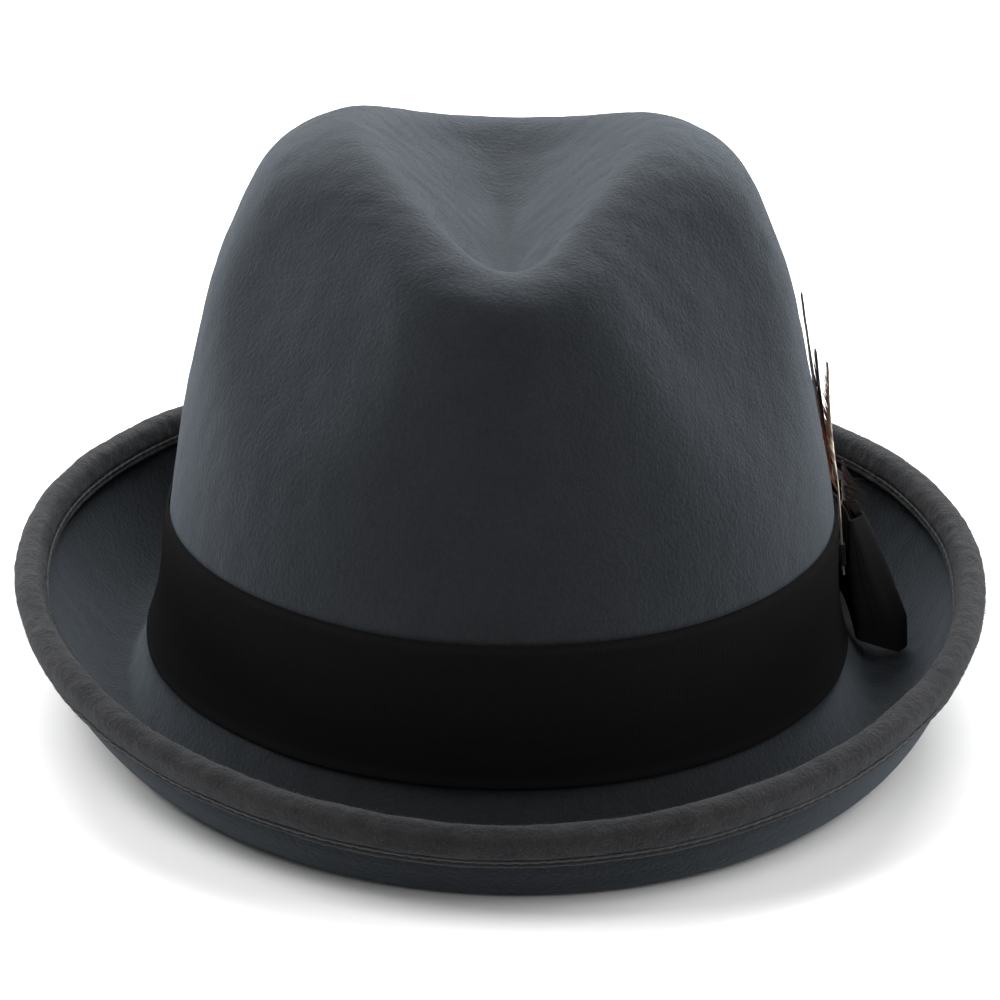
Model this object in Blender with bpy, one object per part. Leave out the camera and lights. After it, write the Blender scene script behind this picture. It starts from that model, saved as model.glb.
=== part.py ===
"""Felt trilby-style fedora hat with a rolled, bound brim, a ribbon band, a side bow and feathers.

Blender frame: +Z up, the wearer faces -Y, the wearer's left side is +X.
The origin is the middle of the brim's outline, on the surface that the brim rests on.
Lengths are in millimetres and are turned into metres when a mesh is made.
"""

from collections import namedtuple
from functools import lru_cache

import bpy
import numpy as np

MM = 0.001

# ---------------------------------------------------------------- driving dimensions, millimetres

AROUND = 64                 # facets around the head oval
GAP = 0.3                   # clearance between pieces that touch
FELT = 2.6                  # felt thickness of crown and brim

# A station is one level line of the felt, measured at the middle of its thickness.
# side, front, back: reach from the middle; z_*: height there; narrow: how far the
# front end closes to a point; shift: how far the line lies to the hat's left.
Station = namedtuple("Station", "side front back z_side z_front z_back narrow shift", defaults=(0.0,))

BRIM_EDGE = Station(119.4, 131.4, 131.4, 32.5, 12.3, 39.0, 0.0, 0.5)
BRIM_CURL = Station(114.4, 128.6, 127.8, 18.0, 2.4, 24.0, 0.0, 1.2)
BRIM_OUTER_FOOT = Station(101.8, 121.5, 120.2, 2.0, -4.4, 7.4, 0.0, 2.4)
BRIM_INNER_FOOT = Station(95.8, 116.0, 114.2, 0.9, -4.0, 5.7, 0.0, 1.5)
BRIM_BREAK = Station(88.8, 106.6, 106.6, 9.4, 9.4, 9.4, 0.0)
CROWN_BASE = Station(86.2, 104.2, 104.2, 17.0, 17.0, 17.0, 0.0)
CROWN_BAND_TOP = Station(82.2, 102.2, 102.0, 49.0, 47.5, 48.0, 0.0, 0.5)
CROWN_MIDDLE = Station(76.1, 89.6, 97.0, 82.0, 79.0, 82.0, 0.0)
CROWN_UPPER = Station(69.0, 79.0, 87.0, 112.5, 103.6, 108.0, 0.087)
CROWN_SHOULDER = Station(59.1, 70.2, 76.0, 133.8, 118.8, 125.0, 0.34)
CROWN_RIM = Station(41.5, 58.0, 62.0, 140.6, 121.6, 128.6, 0.38)
HOLLOW_SLOPE = Station(25.5, 49.0, 46.0, 131.6, 113.6, 123.5, 0.46)
HOLLOW_FLOOR = Station(9.0, 26.0, 22.0, 118.5, 110.5, 116.0, 0.3)
HOLLOW_CENTRE = (0.5, -3.0, 113.2)

STATIONS = (BRIM_EDGE, BRIM_CURL, BRIM_OUTER_FOOT, BRIM_INNER_FOOT, BRIM_BREAK, CROWN_BASE,
            CROWN_BAND_TOP, CROWN_MIDDLE, CROWN_UPPER, CROWN_SHOULDER, CROWN_RIM,
            HOLLOW_SLOPE, HOLLOW_FLOOR)
RINGS_PER_SPAN = (2, 3, 3, 3, 2, 4, 2, 2, 2, 3, 3, 2)
SPAN_BRIM_BREAK = 4
SPAN_CROWN_UPPER = 8
NOSE_SHIFT = 1.9            # the front point of the rim lies a little to the hat's left
CROWN_LEAN = -1.0           # the crown's top leans a little to the hat's right

# At rest the brim's foot lies flat and the head oval tips back by this angle, in degrees.
REST_TILT = 2.4
REST_SHIFT = (-0.6, -1.01)  # centres the footprint on the origin

# The two finger dents that pinch the crown's front. aft and up: half their size backward and
# upward along the wall; edge: how sharply they end; turn: degrees from aft toward up.
Dent = namedtuple("Dent", "centre depth aft up edge turn")
DENTS = (Dent((52.7, -44.0, 111.9), 7.8, 30.2, 31.5, 1.57, -17.8),
         Dent((-59.8, -54.9, 113.0), 7.4, 38.4, 26.7, 1.87, 29.6))
DENT_THROUGH = 40.0

BINDING_PLY = 2.1           # felt strip folded over the brim edge
BINDING_REACH = 6.2         # how far it comes down each face of the brim
BINDING_RAW_EDGE = 1.7      # strip left outside the stitch line
STITCH_GROOVE = 0.7         # how deep the stitch line pulls the strip in
THREAD_RADIUS = 0.35

BAND_THICKNESS = 0.7        # grosgrain ribbon
BAND_BOTTOM = 13.6
BAND_TOP = 47.6
BAND_LAP = (21, 23)         # facets round from the front between which its ends lap

BOW_CENTRE = 108.5          # degrees round from the front, on the hat's left
BOW_HALF_LENGTH = 34.0
BOW_HEIGHT_MIDDLE = 26.0
BOW_TOP = 43.0
BOW_BOTTOM_END = 6.2
BOW_REAR_RISE = 3.6         # how much higher the rear end's lower edge is
BOW_STANDOFF = 3.8          # felt to the bow's inner layer
BOW_LOOP_DEPTH = 6.0        # outer layer to inner layer at the ends
BOW_LEAN = (10.6, 7.0)      # how far the outer layer's lower corners stand away, front and rear
BOW_INNER_RISE = 4.4        # how much higher the inner layer's lower edge is at the ends
# One folded end of the loop, from the inner layer to the outer: back from the end, and depth.
BOW_FOLD = ((0.9, 0.05), (0.1, 0.5), (0.0, 1.4), (1.4, 3.2), (2.9, 5.0), (4.4, 5.9))
BOW_FOLD_OPEN = 1.4         # depth over which the outer layer leaves the inner one
BOW_LEVEL = 30.0            # height at which its place along the crown is measured
BOW_WAIST = 0.32            # how much of its depth the knot presses out of it
BOW_WAIST_LENGTH = 11.0
KNOT_WIDTH = 13.0
KNOT_ABOVE = 1.4            # how far it reaches past the loop, above and below
KNOT_BELOW = 2.6
KNOT_ROUNDNESS = 0.35       # 1 makes its section an ellipse, 0 a rectangle

SWEATBAND_THICKNESS = 1.2
SWEATBAND_BOTTOM = 13.2
SWEATBAND_TOP = 44.0
REED_RADIUS = 0.9

LINING_THICKNESS = 0.8
LINING_BOTTOM = 44.6
LINING_TIP_HEIGHT = 100.0
LINING_TIP = (58.0, 64.0, 80.0)     # side, front, back reach of the oval tip
LINING_CROWN_RISE = 5.0
LINING_TIP_RINGS = (1.0, 0.7, 0.35)    # shares of the tip's oval

# The feathers are tucked down behind the bow's front end and slide out along their quills.
FEATHER_BASE = (6.0, 27.0)  # lower end of the quills: y and height
FEATHER_TILT = 9.0          # degrees back from upright
FEATHER_LEAN = 6.1          # degrees inward, along the crown's side
QUILL_STANDOFF = 2.72       # felt to the middle of the quills
QUILL_WIDTH = 1.2
QUILL_THICKNESS = 0.6
QUILL_PITCH = 1.6
VANE_THICKNESS = 0.4
WRAP_BOTTOM = 2.5           # thread wrapped round the quills, from their lower end
WRAP_TOP = 8.0
WRAP_THICKNESS = 0.22

# place: which quill, from the front; bare: length of quill below the vane; vane: width of the
# vane; layer: felt to its middle; fan: degrees that it turns back from the others; curl: how far
# its tip curls out.
Feather = namedtuple("Feather", "name place length bare vane layer fan curl")
FEATHERS = (Feather("feather_chestnut", 1, 72.0, 24.0, 13.0, 0.7, 0.0, 1.5),
            Feather("feather_orange", 2, 57.0, 24.0, 12.0, 1.45, 3.0, 2.0),
            Feather("feather_cream", 0, 55.0, 24.0, 9.0, 2.2, -4.0, 3.0),
            Feather("feather_down", 3, 29.0, 18.4, 13.0, 3.65, 2.0, 1.2))

# ---------------------------------------------------------------- surface of the felt


def three_way(front, side, back, angle):
    """Value that is front, side and back at 0, 90 and 180 degrees, and smooth between."""
    mean = (front + back) / 2
    return (mean + side) / 2 - (back - front) / 2 * np.cos(angle) + (mean - side) / 2 * np.cos(2 * angle)


def station_line(station, angle):
    """Points of one level line; angle 0 is the front, +90 degrees the hat's left."""
    toward_front = (1 + np.cos(angle)) / 2
    x = station.shift + station.side * np.sin(angle) * (1 - station.narrow * toward_front ** 2)
    x = x + NOSE_SHIFT * toward_front ** 2 * min(1.0, station.narrow / CROWN_RIM.narrow)
    y = (station.back - station.front) / 2 - (station.back + station.front) / 2 * np.cos(angle)
    z = three_way(station.z_front, station.z_side, station.z_back, angle)
    return np.stack([x, y, z], axis=-1)


def spline_through(points, knots, at):
    """Smooth curve through rows of points, each row a whole level line."""
    spans = np.diff(knots)
    slopes = np.diff(points, axis=0) / spans[:, None, None]
    inner = (slopes[:-1] * spans[1:, None, None] + slopes[1:] * spans[:-1, None, None])
    inner = inner / (spans[:-1] + spans[1:])[:, None, None]
    tangents = np.concatenate([slopes[:1], inner, slopes[-1:]])
    index = np.clip(np.searchsorted(knots, at, side="right") - 1, 0, len(spans) - 1)
    length = spans[index][:, None, None]
    u = ((at - knots[index]) / spans[index])[:, None, None]
    start, end = points[index], points[index + 1]
    t_start, t_end = tangents[index] * length, tangents[index + 1] * length
    return (start * (2 * u ** 3 - 3 * u ** 2 + 1) + t_start * (u ** 3 - 2 * u ** 2 + u)
            + end * (3 * u ** 2 - 2 * u ** 3) + t_end * (u ** 3 - u ** 2))


def dent_strength(points, dent):
    """How deep a finger dent is at the given points, and its outward direction."""
    centre = np.array(dent.centre)
    out = np.array([centre[0], centre[1], 0.0]) / np.hypot(centre[0], centre[1])
    aft = np.array([-out[1], out[0], 0.0]) * np.sign(centre[0])
    offset = points - centre
    aft_way, up_way, out_way = offset @ aft, offset[..., 2], offset @ out
    turn = np.radians(dent.turn)
    along = (aft_way * np.cos(turn) + up_way * np.sin(turn)) / dent.aft
    across = (up_way * np.cos(turn) - aft_way * np.sin(turn)) / dent.up
    distance = along ** 2 + across ** 2 + (out_way / DENT_THROUGH) ** 2
    return dent.depth * np.exp(-distance ** dent.edge), out


def pinch(points):
    """Lean the crown and press the two finger dents into its front."""
    moved = points.copy()
    rise = (points[..., 2] - BAND_TOP) / (CROWN_RIM.z_side - BAND_TOP)
    moved[..., 0] += CROWN_LEAN * np.clip(rise, 0, 1)
    for dent in DENTS:
        strength, out = dent_strength(points, dent)
        moved -= strength[..., None] * out
    return moved


def station_knots():
    """Spacing of the level lines, as their mean distance from each other."""
    angle = np.linspace(0, 2 * np.pi, 24, endpoint=False)
    lines = np.stack([station_line(station, angle) for station in STATIONS])
    steps = np.linalg.norm(np.diff(lines, axis=0), axis=-1).mean(axis=1)
    return np.concatenate([[0.0], np.cumsum(steps)])


def felt_lines(angle, rings_per_span=RINGS_PER_SPAN):
    """Level lines of the felt's middle surface, from the brim edge to the crown hollow."""
    knots = station_knots()
    at = [np.linspace(knots[i], knots[i + 1], count, endpoint=False)
          for i, count in enumerate(rings_per_span)]
    at = np.concatenate(at + [knots[-1:]])
    lines = np.stack([station_line(station, angle) for station in STATIONS])
    return pinch(spline_through(lines, knots, at))


def surface_normals(lines):
    """Unit normals of a closed sheet of level lines, on the side away from the head."""
    along = np.gradient(lines, axis=0)
    around = np.roll(lines, -1, axis=1) - np.roll(lines, 1, axis=1)
    normal = np.cross(around, along)
    return normal / np.linalg.norm(normal, axis=-1, keepdims=True)


def full_turn(count):
    return np.linspace(0, 2 * np.pi, count, endpoint=False)


@lru_cache(maxsize=None)
def crown_wall(offset):
    """Fine level lines of the crown's side, offset from its middle surface, and their angles."""
    fine = (6,) * len(RINGS_PER_SPAN)
    turn = full_turn(180)
    lines = felt_lines(turn, fine)
    lines = lines + surface_normals(lines) * offset
    return lines[6 * SPAN_BRIM_BREAK:6 * SPAN_CROWN_UPPER + 1], turn


def crown_face(angle, heights, offset):
    """Points at the given heights, offset from the crown's middle surface.

    angle and heights are arrays of one shape. A positive offset is outside the crown.
    """
    wall, turn = crown_wall(round(offset, 4))
    position = np.mod(angle, 2 * np.pi) / (turn[1] - turn[0])
    column = np.floor(position).astype(int) % len(turn)
    share = position - np.floor(position)
    points = np.empty(np.shape(angle) + (3,))
    for index in np.ndindex(np.shape(angle)):
        left, right = wall[:, column[index]], wall[:, (column[index] + 1) % len(turn)]
        profile = left * (1 - share[index]) + right * share[index]
        for axis in (0, 1):
            points[index + (axis,)] = np.interp(heights[index], profile[:, 2], profile[:, axis])
        points[index + (2,)] = heights[index]
    return points


# ---------------------------------------------------------------- meshes


def clear_scene():
    for item in list(bpy.data.objects):
        bpy.data.objects.remove(item, do_unlink=True)


def material(name, color, roughness, metallic=0.0):
    """Principled material with a linear base colour."""
    made = bpy.data.materials.new(name)
    made.use_nodes = True
    shader = made.node_tree.nodes["Principled BSDF"]
    shader.inputs["Base Color"].default_value = (*color, 1.0)
    shader.inputs["Roughness"].default_value = roughness
    shader.inputs["Metallic"].default_value = metallic
    made.diffuse_color = (*color, 1.0)
    return made


def at_rest(points):
    """Turn points of the level hat to where they are when the brim lies on a surface."""
    points = np.asarray(points, dtype=float)
    sine, cosine = np.sin(np.radians(REST_TILT)), np.cos(np.radians(REST_TILT))
    x, y, z = points[..., 0], points[..., 1], points[..., 2]
    return np.stack([x + REST_SHIFT[0], y * cosine + z * sine + REST_SHIFT[1], z * cosine - y * sine],
                    axis=-1)


def add_object(name, points, faces, surface, parent=None, sharp=40.0):
    """Mesh object from millimetre points of the level hat."""
    corner = np.zeros(3) if parent is None else np.array(parent.location) / MM
    vertices = (at_rest(points).reshape(-1, 3) - corner) * MM
    mesh = bpy.data.meshes.new(name)
    mesh.from_pydata(vertices.tolist(), [], [list(map(int, face)) for face in faces])
    mesh.shade_smooth()
    mesh.set_sharp_from_angle(angle=np.radians(sharp))
    mesh.materials.append(surface)
    made = bpy.data.objects.new(name, mesh)
    made.parent = parent
    bpy.context.collection.objects.link(made)
    return made


def grid_faces(rows, columns, closed_rows, closed_columns, flip=False):
    """Quads of a rows by columns grid whose points are numbered row by row."""
    faces = []
    for row in range(rows if closed_rows else rows - 1):
        next_row = (row + 1) % rows
        for column in range(columns if closed_columns else columns - 1):
            next_column = (column + 1) % columns
            face = (row * columns + column, row * columns + next_column,
                    next_row * columns + next_column, next_row * columns + column)
            faces.append(face[::-1] if flip else face)
    return faces


def add_ring(name, sections, surface, flip=False, **options):
    """Closed ring: sections[k, j] is the k-th corner of the cross-section at the j-th place."""
    rows, columns = sections.shape[:2]
    faces = grid_faces(rows, columns, True, True, flip)
    return add_object(name, sections, faces, surface, **options)


def add_strip(name, sections, surface, flip=False, **options):
    """Strip with two capped ends: sections[k, j] is corner k of the cross-section at place j."""
    rows, columns = sections.shape[:2]
    faces = grid_faces(rows, columns, True, False, flip)
    start = [row * columns for row in range(rows)]
    end = [row * columns + columns - 1 for row in range(rows)]
    caps = [start, end[::-1]]
    faces += [cap[::-1] for cap in caps] if flip else caps
    return add_object(name, sections, faces, surface, **options)


def two_faced(inner, outer):
    """Cross-sections of a thin wall from its two faces, each rows by places."""
    return np.concatenate([inner, outer[::-1]])


# ---------------------------------------------------------------- felt body and brim binding


def make_felt_body(surface):
    """Crown and brim, one felted shell with a flat foot where the brim rests."""
    lines = felt_lines(full_turn(AROUND))
    normals = surface_normals(lines)
    top = lines + normals * FELT / 2
    bottom = lines - normals * FELT / 2
    table = bottom[..., 1] * np.tan(np.radians(REST_TILT))
    bottom[..., 2] = np.maximum(bottom[..., 2], table)
    rows, columns = lines.shape[:2]
    sheet = np.concatenate([bottom[::-1], top])
    points = np.concatenate([sheet.reshape(-1, 3),
                             [np.array(HOLLOW_CENTRE) - (0, 0, FELT / 2)],
                             [np.array(HOLLOW_CENTRE) + (0, 0, FELT / 2)]])
    faces = grid_faces(2 * rows, columns, False, True)
    under, over = 2 * rows * columns, 2 * rows * columns + 1
    last = (2 * rows - 1) * columns
    for column in range(columns):
        following = (column + 1) % columns
        faces.append((following, column, under))
        faces.append((last + column, last + following, over))
    return add_object("felt_body", points, faces, surface)


def edge_frame(count):
    """Brim edge points with the directions out of the brim and out of its upper face."""
    lines = felt_lines(full_turn(count), (6,) * len(RINGS_PER_SPAN))
    normals = surface_normals(lines)
    edge, normal = lines[0], normals[0]
    outward = lines[0] - lines[1]
    outward = outward / np.linalg.norm(outward, axis=-1, keepdims=True)
    return edge, outward, normal, lines, normals


def brim_sections(profile, count=AROUND):
    """Ring sections hung on the brim: each (reach, rise) follows the curl from the edge."""
    edge, outward, normal, lines, normals = edge_frame(count)
    travel = np.concatenate([np.zeros((1, count)),
                             np.cumsum(np.linalg.norm(np.diff(lines, axis=0), axis=-1), axis=0)])
    sections = []
    for reach, rise in profile:
        if reach >= 0:
            sections.append(edge + outward * reach + normal * rise)
            continue
        place = np.empty((count, 3))
        for column in range(count):
            for axis in range(3):
                line = lines[:, column, axis] + normals[:, column, axis] * rise
                place[column, axis] = np.interp(-reach, travel[:, column], line)
        sections.append(place)
    return np.stack(sections)


def binding_profile():
    """U-shaped section of the folded strip, from the upper raw edge over the fold and back."""
    inside = FELT / 2 + GAP
    outside = inside + BINDING_PLY
    groove = -(BINDING_REACH - BINDING_RAW_EDGE)
    upper = [(-BINDING_REACH, inside), (-BINDING_REACH, outside - 0.6),
             (-BINDING_REACH + 0.7, outside - 0.25), (groove, outside - STITCH_GROOVE),
             (groove + 1.3, outside), (-1.2, outside)]
    fold = [(1.2, outside - 0.9), (GAP + BINDING_PLY, inside - 0.5)]
    lower = [(reach, -rise) for reach, rise in reversed(upper)]
    over = fold + [(reach, -rise) for reach, rise in reversed(fold)]
    hollow = [(GAP, -inside), (GAP, inside)]
    return upper + over + lower + hollow


def make_binding(surface):
    return add_ring("brim_binding", brim_sections(binding_profile()), surface, flip=True, sharp=60.0)


def make_binding_threads(surface):
    """Needle thread on the upper face and bobbin thread on the lower one, in the stitch line."""
    groove = -(BINDING_REACH - BINDING_RAW_EDGE)
    level = FELT / 2 + GAP + BINDING_PLY - STITCH_GROOVE + GAP + THREAD_RADIUS
    corners = full_turn(5)
    for name, side in (("binding_needle_thread", 1), ("binding_bobbin_thread", -1)):
        profile = [(groove + THREAD_RADIUS * np.cos(c), side * level + THREAD_RADIUS * np.sin(c))
                   for c in corners]
        add_ring(name, brim_sections(profile), surface)


# ---------------------------------------------------------------- ribbon band and bow


def smooth_step(value):
    value = np.clip(value, 0.0, 1.0)
    return value * value * (3 - 2 * value)


def make_hat_band(surface):
    """Ribbon round the crown's foot, its ends lapped under the bow."""
    facet = np.arange(BAND_LAP[0], AROUND + BAND_LAP[1] + 1)
    angle = facet * 2 * np.pi / AROUND
    lift = (BAND_THICKNESS + GAP) * smooth_step((facet - AROUND - BAND_LAP[0] + 3) / 2)
    rows = 5
    heights = np.linspace(BAND_BOTTOM, BAND_TOP, rows)
    angles, levels = np.meshgrid(angle, heights)
    inner_offset = FELT / 2 + GAP
    inner = crown_face(angles, levels, inner_offset)
    outward = crown_face(angles, levels, inner_offset + 1.0) - inner
    outward = outward / np.linalg.norm(outward, axis=-1, keepdims=True)
    inner = inner + outward * lift[None, :, None]
    outer = inner + outward * BAND_THICKNESS
    return add_strip("hat_band", two_faced(inner, outer), surface, flip=True)


def bow_frame():
    """Where the bow's middle sits on the band, and the directions along and out of it."""
    angle = np.array([np.radians(BOW_CENTRE)])
    middle = crown_face(angle, np.array([BOW_LEVEL]), FELT / 2)[0]
    ahead = crown_face(angle - 0.02, np.array([BOW_LEVEL]), FELT / 2)[0]
    along = middle - ahead
    along = along / np.linalg.norm(along)
    out = np.array([along[1], -along[0], 0.0])
    return middle, along, out


def bow_layer(distance, share, standoff, opened):
    """Point of a bow layer.

    distance: along the bow from its middle, to the back; share: 0 at the lower edge, 1 at
    the top; standoff: distance from the felt; opened: 0 on the inner layer, 1 on the outer.
    """
    middle, along, out = bow_frame()
    end = np.abs(distance) / BOW_HALF_LENGTH
    flare = smooth_step(end)
    middle_bottom = BOW_TOP - 1.0 - BOW_HEIGHT_MIDDLE
    end_bottom = BOW_BOTTOM_END + BOW_INNER_RISE * (1 - opened)
    if distance > 0:
        end_bottom += BOW_REAR_RISE
    bottom = middle_bottom + (end_bottom - middle_bottom) * flare
    top = BOW_TOP - 1.0 + flare
    height = bottom + (top - bottom) * share
    curve = middle + along * distance
    angle = np.arctan2(curve[0] / CROWN_BASE.side, -curve[1] / CROWN_BASE.front)
    wall_height = max(height, BAND_BOTTOM + 1.0)
    wall = crown_face(np.array([angle]), np.array([wall_height]), FELT / 2)[0]
    lean = BOW_LEAN[int(distance > 0)] * flare * (1 - share) * opened
    point = wall + out * (standoff + lean)
    point[2] = height
    return point


def loop_fullness(share):
    """The loop is fullest halfway up and flatter at its two selvedges."""
    return 0.78 + 0.42 * np.sin(np.pi * share)


def loop_path(straight):
    """Closed path of the flat loop: distance along the bow, and depth from its inner layer."""
    half = BOW_HALF_LENGTH - BOW_FOLD[-1][0] - 1.5
    fold = [(BOW_HALF_LENGTH - back, depth) for back, depth in BOW_FOLD]
    layer = np.linspace(-half, half, straight)
    path = [(distance, 0.0) for distance in layer] + fold
    path += [(distance, BOW_LOOP_DEPTH) for distance in layer[::-1]]
    path += [(-distance, depth) for distance, depth in fold[::-1]]
    return np.array(path)


def make_bow_loop(surface):
    """Flat loop of ribbon; the lower corners of its outer layer stand away from the crown."""
    rows = 5
    path = loop_path(11)
    opened = np.clip(path[:, 1] / BOW_FOLD_OPEN, 0, 1)
    tangent = np.roll(path, -1, axis=0) - np.roll(path, 1, axis=0)
    tangent = tangent / np.linalg.norm(tangent, axis=1, keepdims=True)
    outward = np.stack([tangent[:, 1], -tangent[:, 0]], axis=1)
    faces = []
    for depth in (0.0, -BAND_THICKNESS):
        rail = path + outward * depth
        standoff = rail[:, 1] * (1 - BOW_WAIST * np.exp(-(rail[:, 0] / BOW_WAIST_LENGTH) ** 2))
        sheet = [[bow_layer(place, share, BOW_STANDOFF + out * loop_fullness(share), leaves)
                  for place, out, leaves in zip(rail[:, 0], standoff, opened)]
                 for share in np.linspace(0, 1, rows)]
        faces.append(np.array(sheet))
    return add_ring("bow_loop", two_faced(faces[1], faces[0]), surface)


def make_bow_knot(surface):
    """Short ribbon wrapped round the bow's middle."""
    middle, along, out = bow_frame()
    behind = 3 * GAP + 2 * BAND_THICKNESS
    front = BOW_STANDOFF + BOW_LOOP_DEPTH + GAP + BAND_THICKNESS
    top = BOW_TOP + KNOT_ABOVE
    bottom = BOW_TOP - 1.0 - BOW_HEIGHT_MIDDLE - KNOT_BELOW
    corners = 20
    rows = []
    for shrink in (0.0, BAND_THICKNESS):
        loop = []
        for step in full_turn(corners):
            across, up = np.cos(step), np.sin(step)
            across = np.sign(across) * np.abs(across) ** KNOT_ROUNDNESS
            up = np.sign(up) * np.abs(up) ** KNOT_ROUNDNESS
            height = (top + bottom) / 2 + up * ((top - bottom) / 2 - shrink)
            depth = (front + behind) / 2 + across * ((front - behind) / 2 - shrink)
            loop.append((height, depth))
        rows.append(loop)
    sections = []
    for loop, side in ((rows[0], -0.5), (rows[0], 0.5), (rows[1], 0.5), (rows[1], -0.5)):
        line = []
        for height, depth in loop:
            wall = crown_face(np.array([np.radians(BOW_CENTRE)]), np.array([height]), FELT / 2)[0]
            point = wall + out * depth + along * KNOT_WIDTH * side
            point[2] = height
            line.append(point)
        sections.append(line)
    return add_ring("bow_knot", np.array(sections), surface, flip=True)


# ---------------------------------------------------------------- feathers


def side_reach(y, height):
    """How far the felt's outer face reaches to the hat's left at a depth and a height."""
    angle = np.radians(np.linspace(60, 150, 46))
    line = crown_face(angle, np.full(46, height), FELT / 2)
    return np.interp(y, line[:, 1], line[:, 0])


def quill_axis():
    """Lower end of the quills and the direction in which they slide."""
    y, height = FEATHER_BASE
    start = np.array([side_reach(y, height) + QUILL_STANDOFF, y, height])
    tilt, lean = np.radians(FEATHER_TILT), np.radians(FEATHER_LEAN)
    direction = np.array([-np.tan(lean), np.tan(tilt), 1.0])
    return start, direction / np.linalg.norm(direction)


def feather_section(feather, travel):
    """Four corners of a feather's cross-section, so far from its lower end."""
    start, direction = quill_axis()
    width_way = np.array([0.0, direction[2], -direction[1]])
    width_way = width_way / np.linalg.norm(width_way)
    quill = start + width_way * QUILL_PITCH * (feather.place - 1.5) + direction * travel
    free = max(travel - feather.bare + 4.0, 0.0)
    quill = quill + width_way * free * np.tan(np.radians(feather.fan))
    settle = smooth_step((travel - feather.bare + 3.0) / 4.0)
    layer = side_reach(quill[1], quill[2]) + feather.layer
    share = np.clip((travel - feather.bare) / (feather.length - feather.bare), 0, 1)
    quill[0] = quill[0] + (layer - quill[0]) * settle + feather.curl * share ** 2
    swell = smooth_step(share / 0.25) * np.sqrt(np.clip(1 - share ** 2.6, 0, 1))
    width = QUILL_WIDTH + (feather.vane - QUILL_WIDTH) * swell
    thickness = QUILL_THICKNESS + (VANE_THICKNESS - QUILL_THICKNESS) * smooth_step(share / 0.08)
    across, through = width_way * width / 2, np.array([thickness / 2, 0.0, 0.0])
    return [quill - across - through, quill + across - through,
            quill + across + through, quill - across + through]


def make_feather(feather, surface, slide):
    stops = np.concatenate([np.linspace(0, feather.bare - 3.0, 3), [feather.bare - 1.0, feather.bare],
                            np.linspace(feather.bare + 1.0, feather.length, 11)])
    sections = np.array([feather_section(feather, stop) for stop in stops])
    add_strip(feather.name, sections.transpose(1, 0, 2), surface, parent=slide)


def make_feather_wrap(surface, slide):
    """Thread wound round the four quills."""
    start, direction = quill_axis()
    width_way = np.array([0.0, direction[2], -direction[1]])
    width_way = width_way / np.linalg.norm(width_way)
    through = np.array([1.0, 0.0, 0.0])
    sections = []
    for grow, travel in ((0.0, WRAP_BOTTOM), (WRAP_THICKNESS, WRAP_BOTTOM),
                         (WRAP_THICKNESS, WRAP_TOP), (0.0, WRAP_TOP)):
        half_width = 1.5 * QUILL_PITCH + QUILL_WIDTH / 2 + GAP + grow
        half_depth = QUILL_THICKNESS / 2 + GAP + grow
        line = []
        for step in full_turn(16):
            across = np.sign(np.cos(step)) * np.abs(np.cos(step)) ** 0.5 * half_width
            depth = np.sign(np.sin(step)) * np.abs(np.sin(step)) ** 0.5 * half_depth
            line.append(start + direction * travel + width_way * across + through * depth)
        sections.append(line)
    add_ring("feather_wrap", np.array(sections), surface, flip=True, parent=slide)


def make_feathers(surfaces, thread):
    """The bunch of feathers, on an empty whose place is on the line that they slide along."""
    start, _ = quill_axis()
    slide = bpy.data.objects.new("feather_slide", None)
    slide.location = at_rest(start) * MM
    bpy.context.collection.objects.link(slide)
    for feather in FEATHERS:
        make_feather(feather, surfaces[feather.name], slide)
    make_feather_wrap(thread, slide)


# ---------------------------------------------------------------- inside of the hat


def make_sweatband(surface):
    rows = 4
    angles, levels = np.meshgrid(full_turn(AROUND), np.linspace(SWEATBAND_BOTTOM, SWEATBAND_TOP, rows))
    outer = crown_face(angles, levels, -FELT / 2 - GAP)
    inner = crown_face(angles, levels, -FELT / 2 - GAP - SWEATBAND_THICKNESS)
    return add_ring("sweatband", two_faced(inner, outer), surface, flip=True)


def crown_ring(name, height, offset, radius, surface, corners=5):
    """Thin round ring that follows the crown's wall at one height."""
    sections = []
    for corner in full_turn(corners):
        level = np.full(AROUND, height + radius * np.sin(corner))
        place = crown_face(full_turn(AROUND), np.full(AROUND, height), offset + radius * np.cos(corner))
        place[:, 2] = level
        sections.append(place)
    return add_ring(name, np.array(sections), surface)


def make_sweatband_trim(reed_surface, thread_surface):
    """Reed along the sweatband's lower edge, and the stitches that hold the band."""
    middle = -FELT / 2 - GAP - SWEATBAND_THICKNESS / 2
    crown_ring("sweatband_reed", SWEATBAND_BOTTOM - GAP - REED_RADIUS, middle, REED_RADIUS, reed_surface)
    face = -FELT / 2 - GAP - SWEATBAND_THICKNESS
    crown_ring("sweatband_thread", SWEATBAND_BOTTOM + 2.4, face - GAP - THREAD_RADIUS, THREAD_RADIUS,
               thread_surface)


def lining_line(share, offset):
    """Level line of the lining's side wall: share 0 is its lower edge, 1 the oval tip."""
    angle = full_turn(AROUND)
    foot = crown_face(angle, np.full(AROUND, LINING_BOTTOM), -FELT / 2 - GAP - SWEATBAND_THICKNESS / 2)
    side, front, back = LINING_TIP
    tip = station_line(Station(side, front, back, *(LINING_TIP_HEIGHT,) * 3, 0.0), angle)
    line = foot + (tip - foot) * share
    away = line * (1.0, 1.0, 0.0)
    away = away / np.linalg.norm(away, axis=-1, keepdims=True)
    return line + away * offset


def make_lining_side(surface):
    shares = np.linspace(0, 1, 4)
    outer = np.array([lining_line(share, 0.0) for share in shares])
    inner = np.array([lining_line(share, -LINING_THICKNESS) for share in shares])
    return add_ring("lining_side", two_faced(inner, outer), surface, flip=True)


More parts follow.
